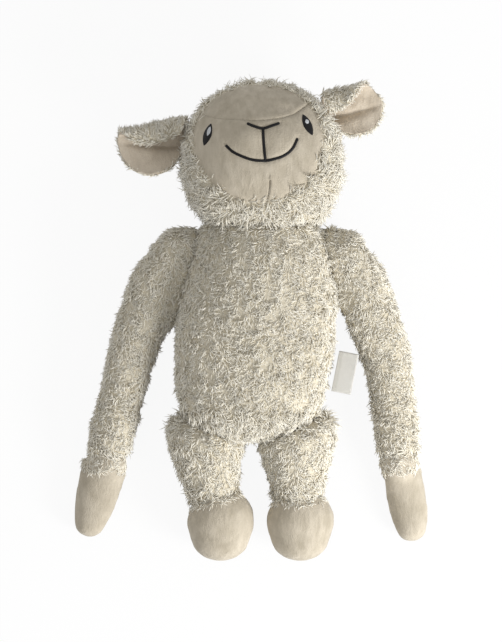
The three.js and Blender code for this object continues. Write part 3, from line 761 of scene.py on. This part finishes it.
face = velour_panel("face", bm, False)
forehead = velour_panel("forehead", bm, True)
cap = bpy.data.meshes.new("cap")
bm.to_mesh(cap)
cap_tree = tree_of(cap)
bm.free()
for panel, node in zip((face, forehead), FACE_PANELS):
    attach(panel, "head")
    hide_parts(node)
print("face", len(face.data.polygons), "forehead", len(forehead.data.polygons))

# %% [markdown]
# ## Satin stitch
#
# Satin stitch is many short threads laid side by side. A line of it is a low rounded cord with ribs
# across it, and an eye is a leaf-shaped patch of the same. Both follow the velour that they are sewn to,
# so each point is placed at a spot of the face and lifted along the face's own direction.

# %% Placing on the face
def on_face(x, y, lift):
    hit, normal = drop(cap_tree, x, y)
    return hit + normal * lift


def sew(piece, node):
    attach(piece, "head")
    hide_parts(node)
    print(piece.name, len(piece.data.polygons), "faces")


# %% Stitched lines
STITCH_WIDTH = 2.5 * MM
STITCH_RISE = 0.9 * MM
STITCH_END = 0.8 * MM
END_WIDTH = 0.35
THREAD_PITCH = 0.75 * MM
CUTS_PER_THREAD = 3
HALF_STEP = 0.2 * MM
RIB_HEIGHT = 0.10


def spot_on(line, reach, s):
    """The place that is s metres along a line."""
    return np.array([np.interp(s, reach, line[:, k]) for k in (0, 1)])


def stitched_line(name, node, corners):
    line = smooth_line(corners, 24)
    steps = np.linalg.norm(np.diff(line, axis=0), axis=1)
    reach = np.concatenate([[0], np.cumsum(steps)])
    long = reach[-1]
    cuts = int(long / (THREAD_PITCH / CUTS_PER_THREAD))
    bm = bmesh.new()
    bmesh.ops.create_cone(bm, segments=12, radius1=1, radius2=1, depth=2, cap_ends=True)
    rails = [e for e in bm.edges if abs(e.verts[0].co.z - e.verts[1].co.z) > 1]
    bmesh.ops.subdivide_edges(bm, edges=rails, cuts=cuts, use_grid_fill=True)
    for vert in bm.verts:
        s = (vert.co.z + 1) / 2 * long
        place = spot_on(line, reach, s)
        heading = spot_on(line, reach, s + HALF_STEP) - spot_on(line, reach, s - HALF_STEP)
        heading = heading / max(np.linalg.norm(heading), 1e-9)
        slant = s + vert.co.x * 0.5 * STITCH_WIDTH
        rib = 1 + RIB_HEIGHT * math.sin(2 * math.pi * slant / THREAD_PITCH)
        end = math.sqrt(max(0.0, min(1.0, (long / 2 - abs(s - long / 2)) / STITCH_END)))
        taper = END_WIDTH + (1 - END_WIDTH) * end
        sideways = vert.co.x * STITCH_WIDTH / 2 * rib * taper
        lift = vert.co.y * STITCH_RISE * rib * taper
        x = place[0] - heading[1] * sideways
        y = place[1] + heading[0] * sideways
        vert.co = on_face(x, y, lift)
    bmesh.ops.recalc_face_normals(bm, faces=bm.faces)
    sew(new_piece(name, bm, black_look), node)


for word, corners in (("nose", NOSE_LINE), ("lip", LIP_LINE), ("mouth", MOUTH_LINE)):
    stitched_line(f"{word}_line", f"{word}_stitch", corners)

# %% Eyes and their glints
EYE_SIZE = {"left": (20.5 * MM, 7.4 * MM), "right": (20.5 * MM, 7.2 * MM)}
EYE_RISE = 1.0 * MM
EYE_LOW = 0.1 * MM
GLINT_SIZE = {"left": (4.2 * MM, 3.4 * MM), "right": (8.5 * MM, 3.0 * MM)}
GLINT_UP = {"left": 2.6 * MM, "right": 3.0 * MM}
GLINT_ASIDE = {"left": 0.2 * MM, "right": 0.8 * MM}
GLINT_RISE = 0.5 * MM
GLINT_LOW = 1.0 * MM
LEAF_ROUND = 1.8
LEAF_POINT = 0.8
LEAF_SLANT = 0.25
LEAF_PITCH = 0.8 * MM
LEAF_RIB = 0.06 * MM
LEAF_WELD = 0.02 * MM
LEAF_THICK = 0.6 * MM


def turned(middle, turn, far_along, far_across):
    """The place that is so far along and across a leaf from its middle."""
    x = middle[0] - math.sin(turn) * far_along + math.cos(turn) * far_across
    y = middle[1] + math.cos(turn) * far_along + math.sin(turn) * far_across
    return x, y


def leaf(name, node, middle, size, turn, rise, low, look):
    """A leaf-shaped patch of satin stitch: long, wide, pointed at both ends and domed."""
    bm = bmesh.new()
    bmesh.ops.create_grid(bm, x_segments=72, y_segments=20, size=1)
    for vert in bm.verts:
        u, v = vert.co.x, vert.co.y
        half = (1 - abs(u) ** LEAF_ROUND) ** LEAF_POINT
        far_along = u * size[0] / 2
        far_across = v * half * size[1] / 2
        dome = math.sqrt(max(0.0, 1 - v * v)) * math.sqrt(max(0.0, 1 - u * u))
        rib = LEAF_RIB * math.sin(2 * math.pi * (far_along + LEAF_SLANT * far_across) / LEAF_PITCH)
        vert.co = on_face(*turned(middle, turn, far_along, far_across), low + rise * dome + rib * dome)
    bmesh.ops.recalc_face_normals(bm, faces=bm.faces)
    if sum(f.normal.z for f in bm.faces) < 0:
        bmesh.ops.reverse_faces(bm, faces=bm.faces)
    bmesh.ops.remove_doubles(bm, verts=bm.verts, dist=LEAF_WELD)
    bmesh.ops.solidify(bm, geom=bm.faces, thickness=LEAF_THICK)
    sew(new_piece(name, bm, look), node)


for side in SIDES:
    eye = f"{side}_eye"
    middle = on_head(*EYES[side])
    turn = math.radians(EYE_LEAN[side])
    leaf(f"{eye}_patch", eye, middle, EYE_SIZE[side], turn, EYE_RISE, EYE_LOW, black_look)
    glint = f"{eye}_glint"
    spot = turned(middle, turn, GLINT_UP[side], GLINT_ASIDE[side])
    size = GLINT_SIZE[side]
    leaf(f"{side}_glint", glint, spot, size, turn, GLINT_RISE, GLINT_LOW, white_look)

# %% [markdown]
# ## Ears
#
# An ear is a leaf of fleece lined with velour. Its lower lobe is a shallow cup, and its upper lobe rolls
# up and over, so that the fleece of its back shows on top. A flat grid is eased into the leaf's outline,
# and then bent across by the same two arcs as in the CAD: a wide one for the cup and a tight one for the
# roll. The lining is cut a little larger than the roll, so a strip of it shows along the rolled rim. The
# CAD ear starts its roll a little way out, so that a stiff ear can flop. A cloth one is rolled right up
# to the head.
#
# A narrow pleat in a soft valley runs out from the root, where the ear is pinched into the head's seam,
# and fades towards the tip.

# %% The bend of an ear
OUTWARDS = {"left": 1, "right": -1}
EAR_LENGTH = {"left": 44 * MM, "right": 53 * MM}
EAR_SKEW = {"left": 31, "right": 20}
EAR_UPPER = {"left": 40 * MM, "right": 35.5 * MM}
EAR_LOWER = {"left": 27 * MM, "right": 35 * MM}
EAR_SPREAD = {"left": 1.1, "right": 1.5}
TIP_CURL = {"left": 0.45, "right": 2.0}
EAR_CUP = 60 * MM
EAR_ROLL = 8.5 * MM
ROLL_START = 6 * MM


def ear_curl(a, side):
    """How much tighter than at its root the ear rolls, a from its root."""
    return 1 + (TIP_CURL[side] - 1) * min(max(a / EAR_LENGTH[side], 0), 1)


def ear_section(b, curl):
    """Place across, height and slope of the leaf, b from its fold."""
    cup = EAR_CUP / min(curl, 1)
    start_roll = ROLL_START / max(curl, 1)
    flat = min(b, start_roll)
    angle = flat / cup
    across, height = cup * math.sin(angle), cup * (1 - math.cos(angle))
    if b > start_roll:
        tight = EAR_ROLL / curl
        start, angle = angle, angle + (b - start_roll) / tight
        across += tight * (math.sin(angle) - math.sin(start))
        height += tight * (math.cos(start) - math.cos(angle))
    return across, height, angle


# %% The leaf's outline and its creases
FULLEST = -0.3
ROOT_SHARE = 0.62
ROOT_REACH = 2.1
ROOT_LEAST = 0.25
EAR_WAVE = 0.7 * MM
WAVES_PER_METRE = 90
PLEAT_ROOT = -8 * MM
PLEAT_TIP = -1 * MM
PLEAT_WIDE = 2.2 * MM
PLEAT_DEEP = 2 * MM
PLEAT_BEND = 1.6
PLEAT_FADE = 0.7
VALLEY_WIDE = 5 * MM
VALLEY_DEEP = 3.4 * MM


def fullness(u, side):
    """How wide the upper lobe is for its length's share u, next to its widest place."""
    full = math.exp(-((max(u - FULLEST, 0) / EAR_SPREAD[side]) ** 2))
    if u < 0:
        full /= math.sqrt(max(ROOT_LEAST, 1 - u * u))
    return full


def crease_depth(a, b, side):
    """How deep the pleat and its valley are, a from the root and b from the fold."""
    reach = min(max(a / EAR_LENGTH[side], 0), 1)
    beside = b - PLEAT_ROOT - (PLEAT_TIP - PLEAT_ROOT) * reach**PLEAT_BEND
    pleat = PLEAT_DEEP * math.exp(-((beside / PLEAT_WIDE) ** 2))
    valley = VALLEY_DEEP * math.exp(-((beside / VALLEY_WIDE) ** 2))
    return (pleat + valley) * (1 - reach) ** PLEAT_FADE


def leaf_directions(side):
    """Along the ear from its root, and across it towards its upper lobe."""
    axis = Vector(joints[f"{side}_ear_flop"]["axis"])
    normal = Vector((-axis.y, axis.x, 0))
    turn = math.radians(-OUTWARDS[side] * EAR_SKEW[side])
    ahead = Vector((
        normal.x * math.cos(turn) - normal.y * math.sin(turn),
        normal.x * math.sin(turn) + normal.y * math.cos(turn),
        0,
    ))
    return ahead, Vector((-ahead.y, ahead.x, 0)) * OUTWARDS[side]


# %% A layer of an ear
EAR_RIM = 0.8 * MM
UPPER_RIM = {"cloth": 0.5 * MM, "velour": -3 * MM}
LAYER_HEIGHT = {"cloth": 0, "velour": 1.9 * MM}
LAYER_THICK = {"cloth": 1.8 * MM, "velour": 1.7 * MM}
SHARP = 1.2
ROUND_SHARE = 0.35


def ear_layer(side, cloth, look, node):
    """Bends a flat leaf into one layer of an ear. The velour's upper rim stands out past the cloth's."""
    root = Vector(joints[f"{side}_ear_flop"]["pos_m"])
    ahead, upper = leaf_directions(side)
    root_reach = math.sqrt(1 - ROOT_SHARE**2)
    half_length = EAR_LENGTH[side] / (1 + root_reach)
    bm = bmesh.new()
    bmesh.ops.create_grid(bm, x_segments=48, y_segments=90, size=1)
    for vert in bm.verts:
        u, v = eased_oval(vert.co.x, vert.co.y)
        upper_width = EAR_UPPER[side] * fullness(u, side) - UPPER_RIM[cloth]
        b = (upper_width if v > 0 else EAR_LOWER[side] - EAR_RIM) * v
        a = half_length * root_reach + (half_length - EAR_RIM) * u
        if a < 0:
            a *= ROOT_REACH
        across, height, angle = ear_section(b, ear_curl(a, side))
        wave = EAR_WAVE * noise.noise(Vector((a, b, 0)) * WAVES_PER_METRE) * (1 - u * u)
        lift = LAYER_HEIGHT[cloth] + wave - crease_depth(a, b, side)
        across -= math.sin(angle) * lift
        height += math.cos(angle) * lift
        vert.co = root + ahead * a + upper * across + UP * height
    bmesh.ops.recalc_face_normals(bm, faces=bm.faces)
    low_lobe = min(bm.faces, key=lambda f: (f.calc_center_median() - root).dot(upper))
    if low_lobe.normal.z < 0:
        bmesh.ops.reverse_faces(bm, faces=bm.faces)
    bmesh.ops.solidify(bm, geom=bm.faces, thickness=LAYER_THICK[cloth])
    bmesh.ops.bevel(
        bm,
        geom=[e for e in bm.edges if e.is_manifold and e.calc_face_angle() > SHARP],
        offset=ROUND_SHARE * LAYER_THICK[cloth],
        segments=2,
        profile=0.5,
        affect="EDGES",
        material=-1,
    )
    piece = new_piece(f"{side}_ear_{cloth}", bm, look)
    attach(piece, f"{side}_ear")
    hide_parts(node)
    return piece


ears = {}
linings = {}
for side in SIDES:
    ears[side] = ear_layer(side, "cloth", skin_look, f"{side}_ear_back")
    linings[side] = ear_layer(side, "velour", lining_look, f"{side}_ear_lining")
    print(side, "ear", len(ears[side].data.polygons), len(linings[side].data.polygons))

# %% [markdown]
# ## Locks of fleece
#
# Blender's own hair can't be exported as a mesh, so each lock is modelled: a thin three-sided horn,
# pointed at its tip. One is made with an operator, and numpy lays out copies of it over a skin. A lock
# starts under the skin, leans over at its own angle, sweeps sideways and falls back, and neighbours share
# most of that through slow noise, which gathers them into curls.

# %% One lock
STATIONS = 3

bm = bmesh.new()
bmesh.ops.create_cone(bm, segments=3, radius1=1, radius2=1, depth=1, cap_ends=True)
rails = [e for e in bm.edges if abs(e.verts[0].co.z - e.verts[1].co.z) > 0.5]
bmesh.ops.subdivide_edges(bm, edges=rails, cuts=STATIONS - 1, use_grid_fill=True)
tip = [v for v in bm.verts if v.co.z > 0.49]
bmesh.ops.pointmerge(bm, verts=tip, merge_co=Vector((0, 0, 0.5)))
bmesh.ops.recalc_face_normals(bm, faces=bm.faces)
bm.verts.index_update()
lock_spots = np.array([v.co for v in bm.verts])
lock_faces = [[v.index for v in f.verts] for f in bm.faces]
bm.free()
lock_share = lock_spots[:, 2] + 0.5
lock_loops = np.array([index for corners in lock_faces for index in corners])
lock_sizes = np.array([len(corners) for corners in lock_faces])
print("a lock has", len(lock_spots), "points and", len(lock_faces), "faces")

# %% Scatter places over a skin
SEED = 7
draw = np.random.default_rng(SEED)


def scatter(piece, spacing):
    """Places that are about one spacing apart, and the skin's direction at each."""
    mesh = piece.data
    mesh.calc_loop_triangles()
    corners = np.zeros(len(mesh.loop_triangles) * 3, int)
    mesh.loop_triangles.foreach_get("vertices", corners)
    points = read_points(mesh)[corners.reshape(-1, 3)]
    sides = np.cross(points[:, 1] - points[:, 0], points[:, 2] - points[:, 0])
    areas = np.linalg.norm(sides, axis=1) / 2
    count = int(areas.sum() / spacing**2)
    order = (np.arange(count) + draw.random(count)) / count * areas.sum()
    chosen = np.searchsorted(np.cumsum(areas), order).clip(0, len(areas) - 1)
    a, b = draw.random((2, count, 1))
    over = a + b > 1
    a, b = np.where(over, 1 - a, a), np.where(over, 1 - b, b)
    first, second, third = (points[chosen, k] for k in range(3))
    roots = first + (second - first) * a + (third - first) * b
    normals = sides[chosen] / np.maximum(2 * areas[chosen, None], 1e-12)
    return roots, normals


def drift(points, size, seed):
    """Slow noise at each point, from about -1 to 1."""
    offset = Vector((seed * 7.3, seed * 3.1, seed * 5.7))
    return np.array([noise.noise(Vector(p) / size + offset) for p in points]) * 1.8


def unit(vectors):
    return vectors / np.maximum(np.linalg.norm(vectors, axis=-1, keepdims=True), 1e-9)


# %% Lay a lock at each place
LOCK_SPACING = 1.6 * MM
LOCK_LENGTH = 6.2 * MM
LOCK_WIDTH = 1.4 * MM
ROOT_DEPTH = 0.5 * MM
LOCK_OFF_FLOOR = 0.2 * MM
TURN_CURL = 9 * MM
SWEEP_CURL = 6 * MM
RISE_CURL = 8 * MM
LENGTH_CURL = 9 * MM
TURN_DRIFT = 1.8
SWEEP_DRIFT = 1.3
TURN_LOOSE = 0.6
RISE = 36
RISE_DRIFT = 22
RISE_LOOSE = 9
RISE_LIMITS = (0.15, 1.4)
FALL = (15, 60)
LENGTH_DRIFT = 0.2
LENGTH_SPREAD = (0.75, 1.3)
WIDTH_SPREAD = (0.75, 1.25)
LOCK_TAPER = 0.6
ROOT_GIRTH = 0.75
PALETTE_EDGE = 0.04


def lay_locks(name, roots, normals, flow, length, body, wild=1.0, stand=1.0):
    """Lays a lock at each root, along the flow. Less wild, they turn less; a small stand keeps them flat."""
    count = len(roots)
    ahead = unit(flow - (flow * normals).sum(1, keepdims=True) * normals)
    aside = np.cross(normals, ahead)
    yaw = wild * (TURN_DRIFT * drift(roots, TURN_CURL, 1) + draw.normal(0, TURN_LOOSE, count))
    sweep = SWEEP_DRIFT * drift(roots, SWEEP_CURL, 2) + draw.normal(0, TURN_LOOSE, count)
    rise = RISE + RISE_DRIFT * drift(roots, RISE_CURL, 3) + draw.normal(0, RISE_LOOSE, count)
    rise = np.radians(rise).clip(*RISE_LIMITS) * stand
    fall = np.radians(draw.uniform(*FALL, count))
    long = length * (1 + LENGTH_DRIFT * drift(roots, LENGTH_CURL, 4)) * draw.uniform(*LENGTH_SPREAD, count)
    wide = LOCK_WIDTH * draw.uniform(*WIDTH_SPREAD, count)
    centres = [roots - normals * ROOT_DEPTH]
    headings = []
    for k in range(STATIONS):
        share = (k + 0.5) / STATIONS
        turn = yaw + sweep * share
        climb = rise - fall * share
        level = ahead * np.cos(turn)[:, None] + aside * np.sin(turn)[:, None]
        heading = level * np.cos(climb)[:, None] + normals * np.sin(climb)[:, None]
        headings.append(heading)
        centres.append(centres[-1] + heading * (long / STATIONS)[:, None])
    headings.append(headings[-1])
    points = np.zeros((count, len(lock_spots), 3))
    for index, (x, y, _) in enumerate(lock_spots):
        share = lock_share[index]
        k = int(round(share * STATIONS))
        heading = headings[k]
        across = unit(np.cross(normals, heading))
        over = np.cross(heading, across)
        girth = wide[:, None] / 2 * (1 - share) ** LOCK_TAPER
        girth = girth * (ROOT_GIRTH + (1 - ROOT_GIRTH) * min(1, share * 3))
        points[:, index] = centres[k] + (across * x + over * y) * girth
    points[:, :, 2] = np.maximum(points[:, :, 2], LOCK_OFF_FLOOR)
    return write_locks(name, points, body)


def write_locks(name, points, body):
    """Makes one mesh of all the locks, and binds it to its body if one is given."""
    count = len(points)
    mesh = bpy.data.meshes.new(name)
    mesh.vertices.add(points.shape[0] * points.shape[1])
    write_points(mesh, points.reshape(-1, 3))
    starts = np.arange(count)[:, None]
    loops = (starts * len(lock_spots) + lock_loops).ravel()
    sizes = np.tile(lock_sizes, count)
    mesh.loops.add(len(loops))
    mesh.loops.foreach_set("vertex_index", loops.astype(np.int32))
    mesh.polygons.add(len(sizes))
    mesh.polygons.foreach_set("loop_start", (np.cumsum(sizes) - sizes).astype(np.int32))
    mesh.update(calc_edges=True)
    tints = (draw.integers(0, TINTS, count) + 0.5) / TINTS
    uv = np.zeros((count, len(lock_loops), 2), np.float32)
    uv[:, :, 0] = tints[:, None]
    uv[:, :, 1] = PALETTE_EDGE + (1 - 2 * PALETTE_EDGE) * lock_share[lock_loops]
    mesh.uv_layers.new(name="OFBake").data.foreach_set("uv", uv.ravel())
    mesh.materials.append(locks_look.material)
    mesh.shade_smooth()
    mesh.validate()
    piece = bpy.data.objects.new(name, mesh)
    bpy.context.scene.collection.objects.link(piece)
    if body:
        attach(piece, body)
    print(name, count, "locks")
    return piece


# %% Keep locks off the sewn ends and the face
OPEN_AIR = 4.5 * MM


def open_air(roots, normals, nodes):
    """True where a lock's root doesn't face one of these covers across a seam."""
    free = np.ones(len(roots), bool)
    for index, (root, normal) in enumerate(zip(roots, normals)):
        start, heading = Vector(root), Vector(normal)
        free[index] = not any(cloth_tree(node).ray_cast(start, heading, OPEN_AIR)[0] for node in nodes)
    return free


def oval_reach(roots):
    """How far out a place is on the face's oval: 1 at its rim, and more on the back of the head."""
    across_face = (roots[:, 0] - head_x - FACE_SHIFT) / FACE_HALF_WIDTH
    up_face = roots[:, 1] - head_y - FACE_LEVEL
    up_face /= np.where(up_face > 0, FACE_RISE, FACE_DROP)
    return np.hypot(across_face, up_face) + (roots[:, 2] < HEAD_MIDDLE)


# %% Fleece on the torso
DOWN = np.array([0.0, -1.0, 0.0])
HIP_PILE = 0.5
TORSO_HIP = 15 * MM
hip_y = joints["left_hip"]["pos_m"][1]
neck = joints["head_nod"]["pos_m"]

roots, normals = scatter(bags["torso_bag"], LOCK_SPACING)
length = LOCK_LENGTH * (1 + HIP_PILE * (roots[:, 1] < hip_y - TORSO_HIP))
for facing, up in (("front", roots[:, 2] > neck[2]), ("back", roots[:, 2] <= neck[2])):
    for side, beside in (("left", roots[:, 0] > neck[0]), ("right", roots[:, 0] <= neck[0])):
        part = up & beside
        lay_locks(f"torso_{facing}_{side}_fleece", roots[part], normals[part], DOWN, length[part], "torso")

# %% [markdown]
# The hood's fleece flows outwards from the face. A few of its locks start on the face's own rim, so that
# the edge of the velour isn't a hard line.

# %% Fleece on the hood
HOOD_LENGTH = 9 * MM
PILE_OVER_RIM = 0.08
FLOW_FROM = np.array([head_x, head_y, 160 * MM])

roots, normals = scatter(bags["head_bag"], LOCK_SPACING)
kept = open_air(roots, normals, torso_covers) & (oval_reach(roots) > 1)
roots, normals = roots[kept], normals[kept]
for panel in (face, forehead):
    over, facing = scatter(panel, LOCK_SPACING)
    kept = (facing[:, 2] > 0) & (oval_reach(over) > 1 - draw.uniform(0, PILE_OVER_RIM, len(over)))
    roots, normals = np.concatenate([roots, over[kept]]), np.concatenate([normals, facing[kept]])
for side, part in (("left", roots[:, 0] > head_x), ("right", roots[:, 0] <= head_x)):
    outwards = roots[part] - FLOW_FROM
    lay_locks(f"hood_{side}_fleece", roots[part], normals[part], outwards, HOOD_LENGTH, "head")

# %% [markdown]
# A sleeve's fleece ends in a hem that hangs a little way over the hand or foot. Those locks start on the
# hand's or foot's own cloth and lie flatter. This fleece and the velour under it keep their places baked
# into their meshes and are bound to no body.

# %% Fleece on the arms and legs
SLEEVE_END = {"arm": -132 * MM, "leg": -166 * MM}
CUFF = {"hand": -135 * MM, "foot": -172 * MM}
HEM = {"hand": 12 * MM, "foot": 5 * MM}
HEM_STAND = 0.45
HEM_PILE = 0.3
HEM_PILE_REACH = 16 * MM
LEG_HIP = 30 * MM


def bend_between(piece, side, end):
    """Bakes the piece's place into its mesh."""
    start = Vector(joints[f"{side}_{'wrist' if end == 'hand' else 'ankle'}"]["pos_m"])
    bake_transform(piece)


def limb_fleece(side, limb, end):
    sleeve = bags[f"{side}_{limb}_bag"]
    roots, normals = scatter(sleeve, LOCK_SPACING)
    kept = open_air(roots, normals, torso_covers) & (roots[:, 1] > SLEEVE_END[limb])
    over, facing = scatter(bags[f"{side}_{end}_bag"], LOCK_SPACING)
    sleeve_tree = tree_of(sleeve.data)
    near = np.array([sleeve_tree.find_nearest(Vector(p))[3] < HEM[end] for p in over])
    hem = near & (over[:, 1] > CUFF[end])
    roots = np.concatenate([roots[kept], over[hem]])
    normals = np.concatenate([normals[kept], facing[hem]])
    on_hem = np.arange(len(roots)) >= kept.sum()
    near_hip = (roots[:, 1] > hip_y - LEG_HIP) & (limb == "leg")
    near_hem = (roots[:, 1] < SLEEVE_END[limb] + HEM_PILE_REACH) & ~on_hem
    length = LOCK_LENGTH * (1 + HIP_PILE * near_hip + HEM_PILE * near_hem)
    stand = np.where(on_hem, HEM_STAND, 1)
    fleece = lay_locks(f"{side}_{limb}_fleece", roots, normals, DOWN, length, None, stand=stand)
    bend_between(fleece, side, end)


for side in SIDES:
    for limb, end in LIMBS.items():
        limb_fleece(side, limb, end)

# %% Fleece on the backs of the ears
EAR_SPACING = 1.4 * MM
EAR_LOCK = 5.5 * MM
EAR_WILD = 0.5
LINED_WITHIN = 4 * MM
EAR_FLOW = {"left": np.array([0.6, -0.8, 0.0]), "right": np.array([-0.3, 0.95, 0.0])}

for side in SIDES:
    roots, normals = scatter(ears[side], EAR_SPACING)
    lined = tree_of(linings[side].data)
    bare = [lined.ray_cast(Vector(p), Vector(n), LINED_WITHIN)[0] is None for p, n in zip(roots, normals)]
    roots, normals = roots[bare], normals[bare]
    lay_locks(f"{side}_ear_fleece", roots, normals, EAR_FLOW[side], EAR_LOCK, f"{side}_ear", wild=EAR_WILD)

# %% The bags of the torso, head, arms and legs ride with their bodies
LIMB_ABOVE = {end: limb for limb, end in LIMBS.items()}

for name, piece in bags.items():
    body = piece["body"]
    side, _, end = body.partition("_")
    if end in LIMB_ABOVE:
        bend_between(piece, side, end)
    else:
        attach(piece, body)
    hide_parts(*[node for node in piece["nodes"] if node not in FACE_PANELS])
print("bound", len(bags), "bags")

# %% [markdown]
# ## The squeaker's bellows
#
# Inside the belly, the bellows folds flat when the squeaker is pressed. A copy of its solid takes its place
# and rides with the torso.

# %% A copy of the bellows
BELLOWS_WELD = 0.01 * MM

bm = bmesh.new()
bm.from_mesh(frame["nodes"]["squeaker_bellows"].data)
bmesh.ops.remove_doubles(bm, verts=bm.verts, dist=BELLOWS_WELD)
bellows = new_piece("squeaker_folds", bm, squeaker_look)
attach(bellows, "torso")
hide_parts("squeaker_bellows")
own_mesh(bellows)

# %% [markdown]
# ## The side label
#
# A loop of satin ribbon, folded in half and caught in the side seam. It starts as a flat grid the size
# that the ribbon was cut to, and each row is laid along the loop: out, round the fold and back.

# %% A folded loop of ribbon
LABEL_LONG = 36.5 * MM
LABEL_OUT = 17.5 * MM
RIBBON_THICK = 0.25 * MM
FOLD = 0.9 * MM
PINCH = 6 * MM
PINCHED_TO = 0.35
LABEL_WAVE = 0.5 * MM
WAVE_LONG = 2.2
WAVE_START = 0.6
flip = joints["label_flip"]
label_root = Vector(flip["pos_m"])
label_out = UP.cross(Vector(flip["axis"])).normalized()
label_seam = label_out.cross(UP) * -1
run = LABEL_OUT - FOLD
label_cut = 2 * run + math.pi * FOLD


def along_loop(s):
    """How far out and how high the ribbon is, s metres from its first end."""
    if s < run:
        return s, FOLD
    if s < run + math.pi * FOLD:
        angle = (s - run) / FOLD
        return run + FOLD * math.sin(angle), FOLD * math.cos(angle)
    return label_cut - s, -FOLD


bm = bmesh.new()
bmesh.ops.create_grid(bm, x_segments=64, y_segments=24, size=1)
weave = bm.loops.layers.uv.new("weave")
for cell in bm.faces:
    for loop in cell.loops:
        loop[weave].uv = (loop.vert.co.x * label_cut / 2, loop.vert.co.y * LABEL_LONG / 2)
for vert in bm.verts:
    out, high = along_loop((vert.co.x + 1) / 2 * label_cut)
    wave = LABEL_WAVE * math.sin(vert.co.y * WAVE_LONG + WAVE_START) * (out / LABEL_OUT) ** 2
    pinch = min(1.0, PINCHED_TO + out / PINCH)
    lift = UP * (high * pinch + wave)
    vert.co = label_root + label_out * out + label_seam * vert.co.y * LABEL_LONG / 2 + lift
bmesh.ops.recalc_face_normals(bm, faces=bm.faces)
bmesh.ops.solidify(bm, geom=bm.faces, thickness=RIBBON_THICK)
label = new_piece("side_label_ribbon", bm, ribbon_look)
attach(label, "label")
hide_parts("side_label")
print("ribbon cut", round(LABEL_LONG / MM, 1), "by", round(label_cut / MM, 1), "mm")

# %% What stays as the CAD made it
finishes = {row["node"]: row["material_slot"] for row in frame["record"]["subparts"]}
for name, node in frame["nodes"].items():
    look = inner_looks.get(finishes[name])
    if look:
        node.data.materials.clear()
        node.data.materials.append(look.material)
        print(name, "has the finish", look.material.name)

# %% [markdown]
# ## Light, floor and camera
#
# The photograph is lit from the lower right and looks straight down at the toy. A bright even world fills
# the shadows, and one broad lamp gives the modelling. The floor is white to the camera and still takes a
# shadow.

# %% Floor
FLOOR_WHITE = 0.92
FLOOR_SIZE = 6

floor_look = Look("studio_floor", roughness=0.9)
floor_look.shader.inputs["Base Color"].default_value = (0.9, 0.9, 0.9, 1)
rays = ("Is Camera Ray", "Is Glossy Ray", "Is Transmission Ray")
camera_ray, glossy_ray, through_ray = (floor_look.node("ShaderNodeLightPath", output=ray) for ray in rays)
seen = camera_ray + glossy_ray + through_ray
glow = floor_look.node("ShaderNodeEmission", None, {"Color": (1, 1, 1, 1), "Strength": 1.0})
surface = Wire(floor_look, floor_look.shader.outputs[0])
blend_in = floor_look.node("ShaderNodeMixShader", None, {0: seen * FLOOR_WHITE, 1: surface, 2: glow})
floor_look.tree.links.new(blend_in.socket, floor_look.tree.nodes["Material Output"].inputs["Surface"])
bm = bmesh.new()
bmesh.ops.create_grid(bm, x_segments=1, y_segments=1, size=FLOOR_SIZE)
floor = new_piece("studio_floor", bm, floor_look)
floor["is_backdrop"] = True
print("floor", 2 * FLOOR_SIZE, "metres wide")

# %% Light
WORLD_LIGHT = 0.6
KEY_PLACE = Vector((1.06, -0.85, 0.68))
KEY_SIZE = 0.6
KEY_POWER = 23

world = bpy.data.worlds.new("studio")
world.use_nodes = True
world.node_tree.nodes["Background"].inputs["Color"].default_value = (1, 1, 1, 1)
world.node_tree.nodes["Background"].inputs["Strength"].default_value = WORLD_LIGHT
bpy.context.scene.world = world

key_data = bpy.data.lights.new("key", "AREA")
key_data.shape = "DISK"
key_data.size = KEY_SIZE
key_data.energy = KEY_POWER
key = bpy.data.objects.new("key", key_data)
bpy.context.scene.collection.objects.link(key)
key.location = KEY_PLACE
key.rotation_mode = "QUATERNION"
key.rotation_quaternion = KEY_PLACE.to_track_quat("Z", "Y")
print("lamp", KEY_POWER, "watts, world", WORLD_LIGHT)

# %% Camera
IMAGE_TALL = 642
PIXEL = 0.888 * MM
SENSOR = 36
CAMERA_HEIGHT = 8.0
AIM_HEIGHT = 0.045
LONG_SIDE = IMAGE_TALL * PIXEL

camera_data = bpy.data.cameras.new("camera")
camera_data.sensor_width = SENSOR
camera_data.lens = SENSOR * (CAMERA_HEIGHT - AIM_HEIGHT) / LONG_SIDE
camera_data.clip_end = 50
camera = bpy.data.objects.new("camera", camera_data)
camera.location = (-1.0 * MM, -0.5 * MM, CAMERA_HEIGHT)
bpy.context.scene.collection.objects.link(camera)
bpy.context.scene.camera = camera
bpy.context.scene.view_settings.view_transform = "Standard"
print("lens", round(camera_data.lens), "mm")

# %% Finish
low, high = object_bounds()
print("visual box", [round(x, 4) for x in (*low, *high)])
